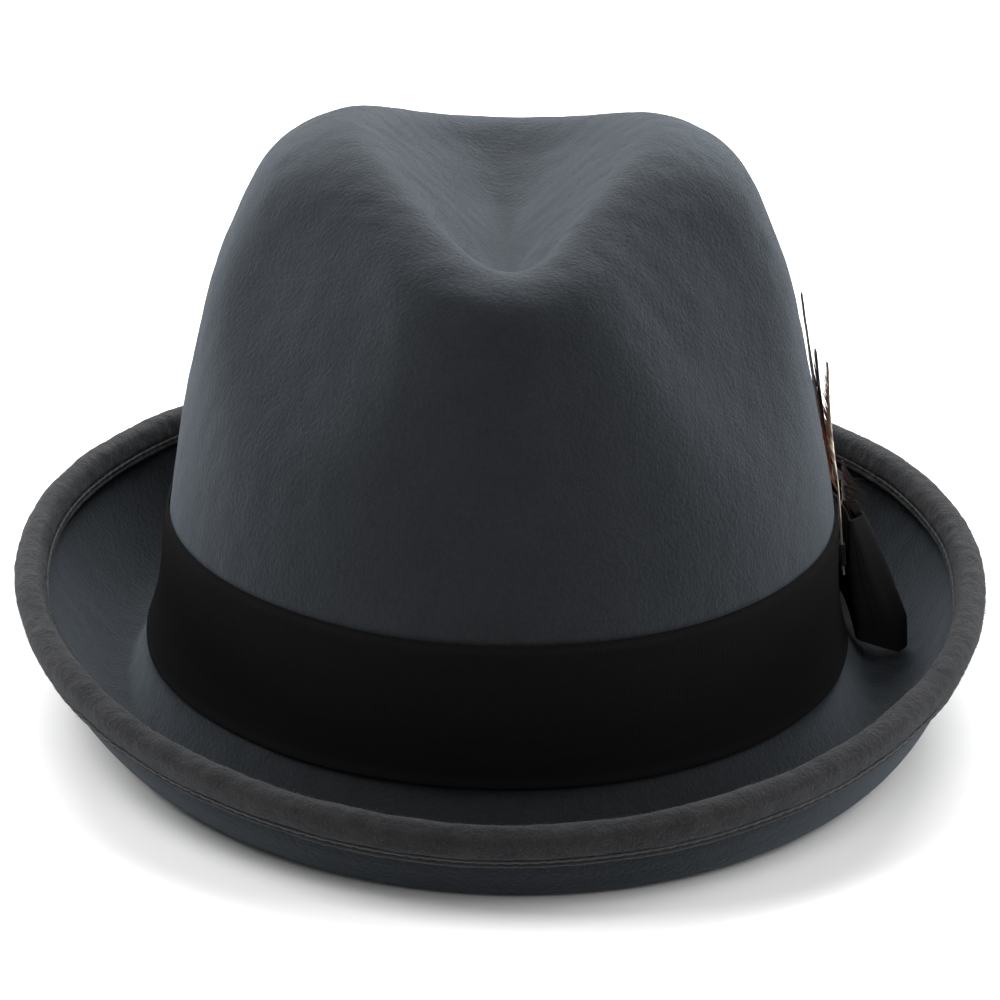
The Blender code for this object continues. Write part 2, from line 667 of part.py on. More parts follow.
def make_lining_tip(surface):
    """Oval crown piece of the lining, slightly domed."""
    rim = lining_line(1.0, 0.0)
    centre = np.array([0.0, (LINING_TIP[2] - LINING_TIP[1]) / 2, LINING_TIP_HEIGHT])
    rows = []
    for level, shares in ((0.0, LINING_TIP_RINGS), (1.0, LINING_TIP_RINGS[::-1])):
        for share in shares:
            line = centre + (rim - centre) * share
            line[:, 2] += GAP + level * LINING_THICKNESS + LINING_CROWN_RISE * (1 - share ** 2)
            rows.append(line)
    upper = len(LINING_TIP_RINGS) * AROUND
    last = len(rows) * AROUND
    below = grid_faces(len(LINING_TIP_RINGS), AROUND, False, True, flip=True)
    above = [tuple(corner + upper for corner in face) for face in below]
    edge = [(column, (column + 1) % AROUND, last - AROUND + (column + 1) % AROUND, last - AROUND + column)
            for column in range(AROUND)]
    middles = [tuple(range(upper - AROUND, upper))[::-1], tuple(range(upper, upper + AROUND))]
    return add_object("lining_tip", np.array(rows), below + above + edge + middles, surface)


# ---------------------------------------------------------------- build


def main():
    clear_scene()
    felt = material("felt_blue_grey", (0.055, 0.064, 0.072), 0.95)
    binding = material("felt_binding", (0.064, 0.066, 0.068), 0.97)
    ribbon = material("ribbon_black", (0.006, 0.006, 0.007), 0.6)
    thread = material("thread_grey", (0.05, 0.052, 0.055), 0.8)
    sweat = material("sweatband_black", (0.012, 0.012, 0.013), 0.7)
    satin = material("lining_satin", (0.02, 0.021, 0.024), 0.35)
    make_felt_body(felt)
    make_binding(binding)
    make_binding_threads(thread)
    make_hat_band(ribbon)
    make_bow_loop(ribbon)
    make_bow_knot(ribbon)
    chestnut = material("feather_chestnut", (0.16, 0.035, 0.015), 0.6)
    orange = material("feather_orange", (0.42, 0.12, 0.03), 0.6)
    cream = material("feather_cream", (0.62, 0.52, 0.38), 0.6)
    down = material("feather_down", (0.12, 0.05, 0.045), 0.9)
    make_feathers({"feather_chestnut": chestnut, "feather_orange": orange, "feather_cream": cream,
                   "feather_down": down}, thread)
    make_sweatband(sweat)
    make_sweatband_trim(sweat, thread)
    make_lining_side(satin)
    make_lining_tip(satin)


main()
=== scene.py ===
"""Looks for the felt fedora: felt with nap, rolled bound brim, ribbon band, bow and feathers.

Lengths are in millimetres of the level hat and are turned into the frame's metres by to_frame().
The wearer faces -Y, the wearer's left side is +X.
"""

import math
from collections import namedtuple
from functools import lru_cache

import bpy
import numpy as np
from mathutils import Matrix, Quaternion, Vector


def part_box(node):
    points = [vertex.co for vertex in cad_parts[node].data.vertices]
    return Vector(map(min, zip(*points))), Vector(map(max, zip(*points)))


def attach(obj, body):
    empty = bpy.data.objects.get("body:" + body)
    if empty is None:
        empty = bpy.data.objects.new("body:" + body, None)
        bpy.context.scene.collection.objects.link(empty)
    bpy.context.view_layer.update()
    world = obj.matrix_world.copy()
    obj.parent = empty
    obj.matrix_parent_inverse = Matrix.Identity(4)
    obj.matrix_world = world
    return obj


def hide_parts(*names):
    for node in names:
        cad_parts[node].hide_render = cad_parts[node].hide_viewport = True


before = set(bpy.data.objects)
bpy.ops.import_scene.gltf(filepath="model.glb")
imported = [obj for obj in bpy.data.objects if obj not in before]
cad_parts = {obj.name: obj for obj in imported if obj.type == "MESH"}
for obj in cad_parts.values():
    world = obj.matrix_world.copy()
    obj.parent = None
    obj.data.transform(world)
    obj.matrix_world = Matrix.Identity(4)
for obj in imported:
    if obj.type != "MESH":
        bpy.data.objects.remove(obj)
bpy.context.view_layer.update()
scene = bpy.context.scene

# ---- dimensions, as in the CAD part

MM = 0.001
GAP = 0.3
FELT = 2.6

Station = namedtuple("Station", "side front back z_side z_front z_back narrow shift", defaults=(0.0,))

BRIM_EDGE = Station(119.4, 131.4, 131.4, 32.5, 12.3, 39.0, 0.0, 0.5)
BRIM_CURL = Station(114.4, 128.6, 127.8, 18.0, 2.4, 24.0, 0.0, 1.2)
BRIM_OUTER_FOOT = Station(101.8, 121.5, 120.2, 2.0, -4.4, 7.4, 0.0, 2.4)
BRIM_INNER_FOOT = Station(95.8, 116.0, 114.2, 0.9, -4.0, 5.7, 0.0, 1.5)
BRIM_BREAK = Station(88.8, 106.6, 106.6, 9.4, 9.4, 9.4, 0.0)
CROWN_BASE = Station(86.2, 104.2, 104.2, 17.0, 17.0, 17.0, 0.0)
CROWN_BAND_TOP = Station(82.2, 102.2, 102.0, 49.0, 47.5, 48.0, 0.0, 0.5)
CROWN_MIDDLE = Station(76.1, 89.6, 97.0, 82.0, 79.0, 82.0, 0.0)
CROWN_UPPER = Station(69.0, 79.0, 87.0, 112.5, 103.6, 108.0, 0.087)
CROWN_SHOULDER = Station(59.1, 70.2, 76.0, 133.8, 118.8, 125.0, 0.34)
CROWN_RIM = Station(41.5, 58.0, 62.0, 140.6, 121.6, 128.6, 0.38)
HOLLOW_SLOPE = Station(25.5, 49.0, 46.0, 131.6, 113.6, 123.5, 0.46)
HOLLOW_FLOOR = Station(9.0, 26.0, 22.0, 118.5, 110.5, 116.0, 0.3)
HOLLOW_CENTRE = (0.5, -3.0, 113.2)
STATIONS = (BRIM_EDGE, BRIM_CURL, BRIM_OUTER_FOOT, BRIM_INNER_FOOT, BRIM_BREAK, CROWN_BASE,
            CROWN_BAND_TOP, CROWN_MIDDLE, CROWN_UPPER, CROWN_SHOULDER, CROWN_RIM,
            HOLLOW_SLOPE, HOLLOW_FLOOR)
SPAN_BRIM_BREAK = 4
SPAN_CROWN_UPPER = 8
NOSE_SHIFT = 1.9
CROWN_LEAN = -1.0
REST_TILT = math.radians(2.4)

Dent = namedtuple("Dent", "centre depth aft up edge turn")
DENTS = (Dent((52.7, -44.0, 111.9), 7.8, 30.2, 31.5, 1.57, -17.8),
         Dent((-59.8, -54.9, 113.0), 7.4, 38.4, 26.7, 1.87, 29.6))
DENT_THROUGH = 40.0

BINDING_PLY = 2.1
BINDING_REACH = 6.2
BINDING_RAW_EDGE = 1.7
STITCH_GROOVE = 0.7
STITCH_LENGTH = 3.2
THREAD_RADIUS = 0.35

BAND_THICKNESS = 0.7
BAND_BOTTOM = 13.6
BAND_TOP = 47.6
BAND_LAP = (21, 23)
BAND_FACETS = 64

BOW_CENTRE = 108.5
BOW_HALF_LENGTH = 34.0
BOW_HEIGHT_MIDDLE = 26.0
BOW_TOP = 43.0
BOW_BOTTOM_END = 6.2
BOW_REAR_RISE = 3.6
BOW_STANDOFF = 3.8
BOW_LOOP_DEPTH = 6.0
BOW_LEAN = (10.6, 7.0)
BOW_INNER_RISE = 4.4
BOW_FOLD = ((0.9, 0.05), (0.1, 0.5), (0.0, 1.4), (1.4, 3.2), (2.9, 5.0), (4.4, 5.9))
BOW_FOLD_OPEN = 1.4
BOW_LEVEL = 30.0            # height of the point that places it
BOW_WAIST = 0.32            # how much the knot presses out of its depth
BOW_WAIST_LENGTH = 11.0
KNOT_WIDTH = 13.0
KNOT_GIRTH = 75.0
KNOT_ABOVE = 1.4
KNOT_BELOW = 2.6
KNOT_ROUNDNESS = 0.35

SWEATBAND_THICKNESS = 1.2
SWEATBAND_BOTTOM = 13.2
SWEATBAND_TOP = 44.0
SWEATBAND_LENGTH = 570.0
SWEATBAND_STITCHES = 178
SWEATBAND_STITCH_LINE = SWEATBAND_BOTTOM + 2.4
REED_RADIUS = 0.9

LINING_THICKNESS = 0.8
LINING_BOTTOM = 44.6
LINING_TIP_HEIGHT = 100.0
LINING_TIP = (58.0, 64.0, 80.0)
LINING_CROWN_RISE = 5.0
PLEATS = 46
PLEAT_DEPTH = 0.18

FEATHER_BASE = (6.0, 27.0)
FEATHER_TILT = math.radians(9.0)
FEATHER_LEAN = math.radians(6.1)
QUILL_STANDOFF = 2.72
QUILL_WIDTH = 1.2
QUILL_THICKNESS = 0.6
QUILL_PITCH = 1.6
WRAP_BOTTOM = 2.5
WRAP_TOP = 8.0

Feather = namedtuple("Feather", "name place length bare vane layer fan curl")
CHESTNUT = Feather("feather_chestnut", 1, 72.0, 24.0, 13.0, 0.7, 0.0, 1.5)
ORANGE = Feather("feather_orange", 2, 57.0, 24.0, 12.0, 1.45, 3.0, 2.0)
CREAM = Feather("feather_cream", 0, 55.0, 24.0, 9.0, 2.2, -4.0, 3.0)
DOWN = Feather("feather_down", 3, 29.0, 18.4, 13.0, 3.65, 2.0, 1.2)

FINE_AROUND = 384           # places round the hat on the felt
FINE_RINGS = (5, 10, 14, 10, 7, 14, 16, 16, 13, 14, 10, 9)

# ---- surface of the felt


def three_way(front, side, back, angle):
    """Value that is front, side and back at 0, 90 and 180 degrees, and smooth between."""
    mean = (front + back) / 2
    return (mean + side) / 2 - (back - front) / 2 * np.cos(angle) + (mean - side) / 2 * np.cos(2 * angle)


def station_line(station, angle):
    """Points of one level line; angle 0 is the front, +90 degrees the hat's left."""
    toward_front = (1 + np.cos(angle)) / 2
    x = station.shift + station.side * np.sin(angle) * (1 - station.narrow * toward_front ** 2)
    x = x + NOSE_SHIFT * toward_front ** 2 * min(1.0, station.narrow / CROWN_RIM.narrow)
    y = (station.back - station.front) / 2 - (station.back + station.front) / 2 * np.cos(angle)
    z = three_way(station.z_front, station.z_side, station.z_back, angle)
    return np.stack([x, y, z], axis=-1)


def spline_through(points, knots, at):
    """Smooth curve through rows of points, each row a whole level line."""
    spans = np.diff(knots)
    slopes = np.diff(points, axis=0) / spans[:, None, None]
    inner = slopes[:-1] * spans[1:, None, None] + slopes[1:] * spans[:-1, None, None]
    inner = inner / (spans[:-1] + spans[1:])[:, None, None]
    tangents = np.concatenate([slopes[:1], inner, slopes[-1:]])
    index = np.clip(np.searchsorted(knots, at, side="right") - 1, 0, len(spans) - 1)
    length = spans[index][:, None, None]
    u = ((at - knots[index]) / spans[index])[:, None, None]
    start, end = points[index], points[index + 1]
    t_start, t_end = tangents[index] * length, tangents[index + 1] * length
    return (start * (2 * u ** 3 - 3 * u ** 2 + 1) + t_start * (u ** 3 - 2 * u ** 2 + u)
            + end * (3 * u ** 2 - 2 * u ** 3) + t_end * (u ** 3 - u ** 2))


def dent_strength(points, dent):
    """How deep a finger dent is at the given points, and its outward direction."""
    centre = np.array(dent.centre)
    out = np.array([centre[0], centre[1], 0.0]) / np.hypot(centre[0], centre[1])
    aft = np.array([-out[1], out[0], 0.0]) * np.sign(centre[0])
    offset = points - centre
    aft_way, up_way, out_way = offset @ aft, offset[..., 2], offset @ out
    turn = np.radians(dent.turn)
    along = (aft_way * np.cos(turn) + up_way * np.sin(turn)) / dent.aft
    across = (up_way * np.cos(turn) - aft_way * np.sin(turn)) / dent.up
    distance = along ** 2 + across ** 2 + (out_way / DENT_THROUGH) ** 2
    return dent.depth * np.exp(-distance ** dent.edge), out


def pinch(points):
    """Lean the crown and press the two finger dents into its front."""
    moved = points.copy()
    rise = (points[..., 2] - BAND_TOP) / (CROWN_RIM.z_side - BAND_TOP)
    moved[..., 0] += CROWN_LEAN * np.clip(rise, 0, 1)
    for dent in DENTS:
        strength, out = dent_strength(points, dent)
        moved -= strength[..., None] * out
    return moved


def full_turn(count):
    return np.linspace(0, 2 * np.pi, count, endpoint=False)


def station_knots():
    """Spacing of the level lines, as their mean distance from each other."""
    angle = full_turn(24)
    lines = np.stack([station_line(station, angle) for station in STATIONS])
    steps = np.linalg.norm(np.diff(lines, axis=0), axis=-1).mean(axis=1)
    return np.concatenate([[0.0], np.cumsum(steps)])


def felt_lines(angle, rings_per_span):
    """Level lines of the felt's middle surface, from the brim edge to the crown hollow."""
    knots = station_knots()
    at = [np.linspace(knots[i], knots[i + 1], count, endpoint=False)
          for i, count in enumerate(rings_per_span)]
    at = np.concatenate(at + [knots[-1:]])
    lines = np.stack([station_line(station, angle) for station in STATIONS])
    return pinch(spline_through(lines, knots, at))


def unit(vectors):
    return vectors / np.linalg.norm(vectors, axis=-1, keepdims=True)


def surface_normals(lines):
    """Unit normals of a closed sheet of level lines, on the side away from the head."""
    along = np.gradient(lines, axis=0)
    around = np.roll(lines, -1, axis=1) - np.roll(lines, 1, axis=1)
    return unit(np.cross(around, along))


@lru_cache(maxsize=None)
def crown_wall(offset):
    """Fine level lines of the crown's side, offset from its middle surface, and their angles."""
    turn = full_turn(180)
    lines = felt_lines(turn, (6,) * (len(STATIONS) - 1))
    lines = lines + surface_normals(lines) * offset
    return lines[6 * SPAN_BRIM_BREAK:6 * SPAN_CROWN_UPPER + 1], turn


def crown_face(angle, heights, offset):
    """Points at the given heights, offset from the crown's middle surface, outside if positive."""
    wall, turn = crown_wall(round(offset, 4))
    position = np.mod(angle, 2 * np.pi) / (turn[1] - turn[0])
    column = np.floor(position).astype(int) % len(turn)
    share = position - np.floor(position)
    points = np.empty(np.shape(angle) + (3,))
    for index in np.ndindex(np.shape(angle)):
        left, right = wall[:, column[index]], wall[:, (column[index] + 1) % len(turn)]
        profile = left * (1 - share[index]) + right * share[index]
        for axis in range(3):
            points[index + (axis,)] = np.interp(heights[index], profile[:, 2], profile[:, axis])
        points[index + (2,)] = heights[index]
    return points


def blunt(value, power):
    """Sine or cosine flattened towards a square wave."""
    return math.copysign(abs(value) ** power, value)


def face_point(angle, height):
    """One point of the crown's outer face."""
    return crown_face(np.array([angle]), np.array([height]), FELT / 2)[0]


def smooth_step(value):
    value = np.clip(value, 0.0, 1.0)
    return value * value * (3 - 2 * value)


def lumps(points, size, seed, waves=26):
    """Smooth random unevenness of about one in height, with lumps about so many millimetres long."""
    rng = np.random.default_rng(seed)
    direction = unit(rng.normal(size=(waves, 3)))
    pitch = 2 * np.pi / (size * rng.uniform(0.7, 1.5, waves))
    phase = rng.uniform(0, 2 * np.pi, waves)
    flat = points.reshape(-1, 3)
    total = np.cos(flat @ (direction * pitch[:, None]).T + phase).sum(axis=1)
    return (total / math.sqrt(waves / 2)).reshape(points.shape[:-1])


# ---- from the level hat to the frame

HAND_BLOCKED = 0.1         # unevenness of the whole hat, the same for pieces that lie on each other


def at_rest(points):
    """Turn points of the level hat to how it lies on its brim."""
    sine, cosine = math.sin(REST_TILT), math.cos(REST_TILT)
    x, y, z = points[..., 0], points[..., 1], points[..., 2]
    return np.stack([x, y * cosine + z * sine, z * cosine - y * sine], axis=-1)


def frame_shift():
    """What brings the middle of the felt's footprint to where the CAD felt has it."""
    lines = felt_lines(full_turn(64), (3,) * (len(STATIONS) - 1))
    placed = at_rest(lines + surface_normals(lines) * FELT / 2)
    low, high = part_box("felt_body")
    middle = np.array((low + high) / 2) / MM
    shift = middle - (placed.reshape(-1, 3).max(axis=0) + placed.reshape(-1, 3).min(axis=0)) / 2
    shift[2] = 0.0
    return shift


FRAME_SHIFT = frame_shift()


def to_frame(points):
    """Level hat in millimetres to the frame in metres, with the felt's slight unevenness."""
    points = np.asarray(points, dtype=float)
    uneven = np.stack([lumps(points, 42.0, seed) for seed in (11, 12, 13)], axis=-1)
    free = smooth_step((at_rest(points)[..., 2] - 3.0) / 12.0)
    return (at_rest(points + HAND_BLOCKED * free[..., None] * uneven) + FRAME_SHIFT) * MM


# ---- meshes


def grid_faces(rows, columns, closed_rows, closed_columns, flip=False):
    """Quads of a rows by columns grid whose points are numbered row by row."""
    row = np.arange(rows if closed_rows else rows - 1)
    column = np.arange(columns if closed_columns else columns - 1)
    row, column = [grid.ravel() for grid in np.meshgrid(row, column, indexing="ij")]
    next_row, next_column = (row + 1) % rows, (column + 1) % columns
    faces = np.stack([row * columns + column, row * columns + next_column,
                      next_row * columns + next_column, next_row * columns + column], axis=1)
    return (faces[:, ::-1] if flip else faces).tolist()


def add_piece(name, points, faces, surface, body="hat", slot=None, replaces=(), sharp=50.0, **values):
    """Mesh piece from points of the level hat. values are point attributes for its material."""
    mesh = bpy.data.meshes.new(name)
    mesh.from_pydata(to_frame(points).reshape(-1, 3).tolist(), [], faces)
    mesh.shade_smooth()
    mesh.set_sharp_from_angle(angle=math.radians(sharp))
    mesh.materials.append(surface)
    for key, value in values.items():
        value = np.asarray(value, dtype=np.float32)
        kind = "FLOAT_VECTOR" if value.ndim > 1 and value.shape[-1] == 3 else "FLOAT"
        attribute = mesh.attributes.new(key, kind, "POINT")
        attribute.data.foreach_set("vector" if kind == "FLOAT_VECTOR" else "value", value.ravel())
    made = bpy.data.objects.new(name, mesh)
    scene.collection.objects.link(made)
    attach(made, body)
    if replaces:
        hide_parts(*replaces)
    return made


def end_caps(rows, columns, flip):
    start = [row * columns for row in range(rows)]
    end = [row * columns + columns - 1 for row in range(rows)][::-1]
    return [start[::-1], end[::-1]] if flip else [start, end]


def two_faced(inner, outer):
    """Cross-sections of a thin wall from its two faces, each rows by places."""
    return np.concatenate([inner, outer[::-1]])


def rounded_path(points, steps):
    """Catmull-Rom curve through an open list of points."""
    points = np.array(points, dtype=float)
    padded = np.concatenate([2 * points[:1] - points[1:2], points, 2 * points[-1:] - points[-2:-1]])
    made = []
    for a, b, c, d in zip(padded, padded[1:], padded[2:], padded[3:]):
        for u in np.linspace(0, 1, steps, endpoint=False):
            made.append(0.5 * (2 * b + (c - a) * u + (2 * a - 5 * b + 4 * c - d) * u ** 2
                               + (3 * b - a - 3 * c + d) * u ** 3))
    return np.array(made + [points[-1]])


# ---- materials


class Nodes:
    """Small helper that wires one Principled material."""

    def __init__(self, name, roughness, **constants):
        self.material = bpy.data.materials.new(name)
        self.material.use_nodes = True
        self.tree = self.material.node_tree
        self.shader = self.tree.nodes["Principled BSDF"]
        self.shader.inputs["Roughness"].default_value = roughness
        for key, value in constants.items():
            self.shader.inputs[key.replace("_", " ")].default_value = value

    def add(self, kind, inputs=None, **settings):
        """New node; inputs feeds its sockets, by name or by number."""
        node = self.tree.nodes.new(kind)
        for key, value in settings.items():
            setattr(node, key, value)
        for key, value in (inputs or {}).items():
            self.feed(node.inputs[key], value)
        return node

    def feed(self, socket, value):
        if isinstance(value, bpy.types.NodeSocket):
            self.tree.links.new(value, socket)
        else:
            socket.default_value = value

    def place(self, stretch=(1.0, 1.0, 1.0), attribute=None):
        """Coordinates in metres, from the object or from a point attribute."""
        if attribute:
            source = self.add("ShaderNodeAttribute", attribute_name=attribute).outputs["Vector"]
        else:
            source = self.add("ShaderNodeTexCoord").outputs["Object"]
        return self.add("ShaderNodeMapping", {"Vector": source, "Scale": stretch}).outputs["Vector"]

    def value(self, attribute):
        return self.add("ShaderNodeAttribute", attribute_name=attribute).outputs["Fac"]

    def noise(self, vector, scale, detail=3.0, roughness=0.55):
        inputs = {"Vector": vector, "Scale": scale, "Detail": detail, "Roughness": roughness}
        return self.add("ShaderNodeTexNoise", inputs).outputs["Fac"]

    def wave(self, vector, scale, direction, distortion=0.0):
        inputs = {"Vector": vector, "Scale": scale, "Distortion": distortion}
        return self.add("ShaderNodeTexWave", inputs, bands_direction=direction).outputs["Fac"]

    def spread(self, value, low, high, to_low=0.0, to_high=1.0):
        inputs = {"Value": value, "From Min": low, "From Max": high, "To Min": to_low, "To Max": to_high}
        return self.add("ShaderNodeMapRange", inputs).outputs["Result"]

    def maths(self, operation, first, second):
        return self.add("ShaderNodeMath", {0: first, 1: second}, operation=operation).outputs[0]

    def mix(self, share, first, second):
        """Blend of two colours."""
        first, second = [colour if isinstance(colour, bpy.types.NodeSocket) else (*colour, 1.0)
                         for colour in (first, second)]
        return self.add("ShaderNodeMix", {0: share, 6: first, 7: second}, data_type="RGBA").outputs[2]

    def colour(self, value):
        self.feed(self.shader.inputs["Base Color"], value)

    def bump(self, *layers):
        """layers: (height, depth in metres), stacked."""
        normal = {}
        for height, depth in layers:
            inputs = {"Strength": 1.0, "Distance": depth, "Height": height, **normal}
            normal = {"Normal": self.add("ShaderNodeBump", inputs).outputs["Normal"]}
        self.feed(self.shader.inputs["Normal"], normal["Normal"])
        return self.material


RIBBON_SHINE = 0.032
RIBS_PER_METRE = 700.0
# how much paler the selvedge line is painted: a painted highlight on the cord-like edge
SELVEDGE_HIGHLIGHT = 1.8


def felt_material(name, dark, light, fibre_depth, sheen):
    """Brushed wool felt: faintly mottled, with short fibres that lie mostly up and down."""
    n = Nodes(name, 0.95, Sheen_Weight=sheen, Sheen_Roughness=0.5, Specular_IOR_Level=0.12)
    n.shader.inputs["Sheen Tint"].default_value = (0.62, 0.74, 0.86, 1.0)
    plain, upright = n.place(), n.place((1.0, 1.0, 0.85))
    cloud = n.spread(n.noise(plain, 60.0, 4.0), 0.35, 0.65)
    tufts = n.spread(n.noise(upright, 900.0, 4.0, 0.65), 0.36, 0.64)
    fibres = n.spread(n.noise(upright, 2100.0, 4.0, 0.7), 0.34, 0.66)
    share = n.maths("ADD", n.maths("MULTIPLY", cloud, 0.25), n.maths("MULTIPLY", tufts, 0.4))
    n.colour(n.mix(n.maths("ADD", share, n.maths("MULTIPLY", fibres, 0.35)), dark, light))
    return n.bump((tufts, fibre_depth), (fibres, fibre_depth * 0.6))


def binding_material():
    """Felt strip of the brim's edge, fuzzier, with brownish wool; the ridge of its raw edge is painted
    paler, a painted highlight.
    """
    n = Nodes("felt_binding_fuzzy", 0.97, Sheen_Weight=0.16, Sheen_Roughness=0.5, Specular_IOR_Level=0.1)
    n.shader.inputs["Sheen Tint"].default_value = (0.78, 0.8, 0.86, 1.0)
    plain = n.place()
    blotch = n.spread(n.noise(plain, 160.0, 4.0, 0.65), 0.36, 0.64)
    fibres = n.spread(n.noise(plain, 1500.0, 5.0, 0.7), 0.3, 0.7)
    base = n.mix(blotch, (0.0098, 0.0102, 0.0106), (0.0205, 0.0204, 0.0206))
    base = n.mix(n.maths("MULTIPLY", fibres, 0.5), base, (0.032, 0.032, 0.033))
    # painted highlight: the raw edge's ridge is painted paler, as if it caught the light
    base = n.mix(n.maths("MULTIPLY", n.value("raw_edge"), 0.5), base, (0.047, 0.047, 0.046))
    n.colour(base)
    return n.bump((blotch, 0.0003), (fibres, 0.0002))


def ribbon_material(name, dark, light, ribbed):
    """Matt grosgrain: very fine ribs across the ribbon, tight selvedges with a painted highlight along
    each.
    """
    n = Nodes(name, 0.92, Specular_IOR_Level=RIBBON_SHINE)
    weave = n.place((1.0, 1.0, 1.0), attribute="weave")
    ribs = n.wave(weave, RIBS_PER_METRE, "X")
    threads = n.wave(weave, 1.3 * RIBS_PER_METRE, "Y", 0.6)
    slub = n.noise(n.place((0.2, 3.0, 1.0), attribute="weave"), 260.0, 3.0)
    base = n.mix(n.maths("MULTIPLY", ribs, ribbed), dark, light)
    base = n.mix(n.spread(slub, 0.35, 0.7, 0.0, 0.35), base, light)
    # painted highlight along the selvedges
    n.colour(n.mix(n.value("selvedge"), base, tuple(c * SELVEDGE_HIGHLIGHT for c in light)))
    return n.bump((ribs, 0.00005), (threads, 0.00002))


def woven_material(name, dark, light):
    """Plain woven band for the inside of the hat."""
    n = Nodes(name, 0.75, Sheen_Weight=0.15, Sheen_Roughness=0.45, Specular_IOR_Level=0.25)
    weave = n.place(attribute="weave")
    warp, weft = n.wave(weave, 420.0, "X"), n.wave(weave, 420.0, "Y")
    cross = n.maths("MULTIPLY", warp, weft)
    base = n.mix(cross, dark, light)
    n.colour(n.mix(n.spread(n.noise(n.place(), 60.0), 0.35, 0.7, 0.0, 0.4), base, light))
    return n.bump((cross, 0.00018))


def satin_material():
    """Lining satin with fine weave lines and soft creases."""
    n = Nodes("lining_satin", 0.34, Sheen_Weight=0.1, Specular_IOR_Level=0.5, Anisotropic=0.4)
    plain = n.place()
    crease = n.noise(n.place((1.0, 1.0, 0.25)), 70.0, 3.0)
    fine = n.wave(plain, 900.0, "Z", 0.4)
    n.colour(n.mix(n.spread(crease, 0.3, 0.7), (0.014, 0.0145, 0.017), (0.03, 0.032, 0.037)))
    return n.bump((crease, 0.0012), (fine, 0.00004))


def thread_material(name, dark, light):
    """Twisted sewing thread."""
    n = Nodes(name, 0.8, Sheen_Weight=0.2, Specular_IOR_Level=0.2)
    twist = n.wave(n.place(), 1400.0, "DIAGONAL", 1.0)
    n.colour(n.mix(twist, dark, light))
    return n.bump((twist, 0.0001))


def feather_material(name, base, tip, bars, quill):
    """Feather: colour runs from the root to the tip and across the barbs; bars adds cross bands."""
    n = Nodes(name, 0.55, Sheen_Weight=0.35, Sheen_Roughness=0.35, Specular_IOR_Level=0.3)
    along, across = n.value("along"), n.value("across")
    fleck = n.noise(n.place(), 700.0, 3.0)
    edge = n.maths("ADD", along, n.maths("MULTIPLY", across, 0.35))
    dark_tip = n.spread(n.maths("ADD", edge, n.maths("MULTIPLY", fleck, 0.12)), 0.78, 1.02)
    body = n.mix(n.spread(fleck, 0.3, 0.7), base, tuple(c * 1.7 for c in base))
    if bars:
        band = n.maths("SINE", n.maths("ADD", n.maths("MULTIPLY", along, bars),
                                       n.maths("MULTIPLY", across, -4.0)), 0.0)
        body = n.mix(n.spread(band, -0.1, 0.5), body, tip)
    body = n.mix(dark_tip, body, tip)
    n.colour(n.mix(n.value("quill"), body, quill))
    return n.bump((fleck, 0.0001))


FELT_SKIN = felt_material("felt_blue_grey", (0.0085, 0.0094, 0.0109), (0.016, 0.0178, 0.0202), 0.00009, 0.2)
BINDING_SKIN = binding_material()
# Loose fibres of the rolled edge, far paler than the felt: partly their own greyer wool, partly a painted
# highlight where they catch the light.
FUZZ_SKIN_PAINTED_HIGHLIGHT = felt_material("felt_fuzz_painted_highlight", (0.016, 0.016, 0.0165), (0.075, 0.075, 0.077), 0.00002, 0.16)
RIBBON_SKIN = ribbon_material("ribbon_black", (0.0042, 0.0042, 0.0042), (0.0062, 0.0062, 0.0062), 0.5)
# The bow is the band's black ribbon painted about two and a half times lighter: painted light standing in
# for the light on its face.
BOW_SKIN_PAINTED_LIGHTER = ribbon_material("ribbon_black_bow_painted_lighter", (0.0115, 0.0115, 0.0115), (0.015, 0.015, 0.0148), 0.4)
SWEATBAND_SKIN = woven_material("sweatband_black", (0.008, 0.008, 0.009), (0.02, 0.02, 0.022))
SATIN_SKIN = satin_material()
THREAD_SKIN = thread_material("thread_grey", (0.02, 0.021, 0.023), (0.06, 0.062, 0.066))
WRAP_SKIN = thread_material("thread_dark", (0.01, 0.01, 0.011), (0.035, 0.034, 0.034))

# ---- felt body


def make_felt_body():
    """Crown and brim, one felted shell with slightly uneven faces."""
    lines = felt_lines(full_turn(FINE_AROUND), FINE_RINGS)
    normals = surface_normals(lines)
    grain = 0.05 * lumps(lines, 7.0, 21)
    top = lines + normals * (FELT / 2 + grain)[..., None]
    bottom = lines - normals * (FELT / 2)
    table = bottom[..., 1] * math.tan(REST_TILT)
    bottom[..., 2] = np.maximum(bottom[..., 2], table)
    rows, columns = lines.shape[:2]
    sheet = np.concatenate([bottom[::-1], top])
    middle = np.array([np.array(HOLLOW_CENTRE) + (0, 0, side * FELT / 2) for side in (-1, 1)])
    points = np.concatenate([sheet.reshape(-1, 3), middle])
    faces = grid_faces(2 * rows, columns, False, True)
    under = 2 * rows * columns
    last = (2 * rows - 1) * columns
    for column in range(columns):
        following = (column + 1) % columns
        faces.append([following, column, under])
        faces.append([last + column, last + following, under + 1])
    add_piece("felt_crown_and_brim", points, faces, FELT_SKIN, slot="felt", replaces=["felt_body"])


# ---- brim binding and its stitches

BINDING_AROUND = 768
STITCH_PULL = 0.1           # how much each stitch draws the felt in between its ends
STITCH_RISE = 0.35


@lru_cache(maxsize=None)
def brim_edge(count):
    """Brim edge with its outward and upward directions, the level lines and how far they run."""
    lines = felt_lines(full_turn(count), (6,) * (len(STATIONS) - 1))[:20]
    normals = surface_normals(lines)
    outward = unit(lines[0] - lines[1])
    steps = np.cumsum(np.linalg.norm(np.diff(lines, axis=0), axis=-1), axis=0)
    return outward, lines, normals, np.concatenate([np.zeros((1, count)), steps])


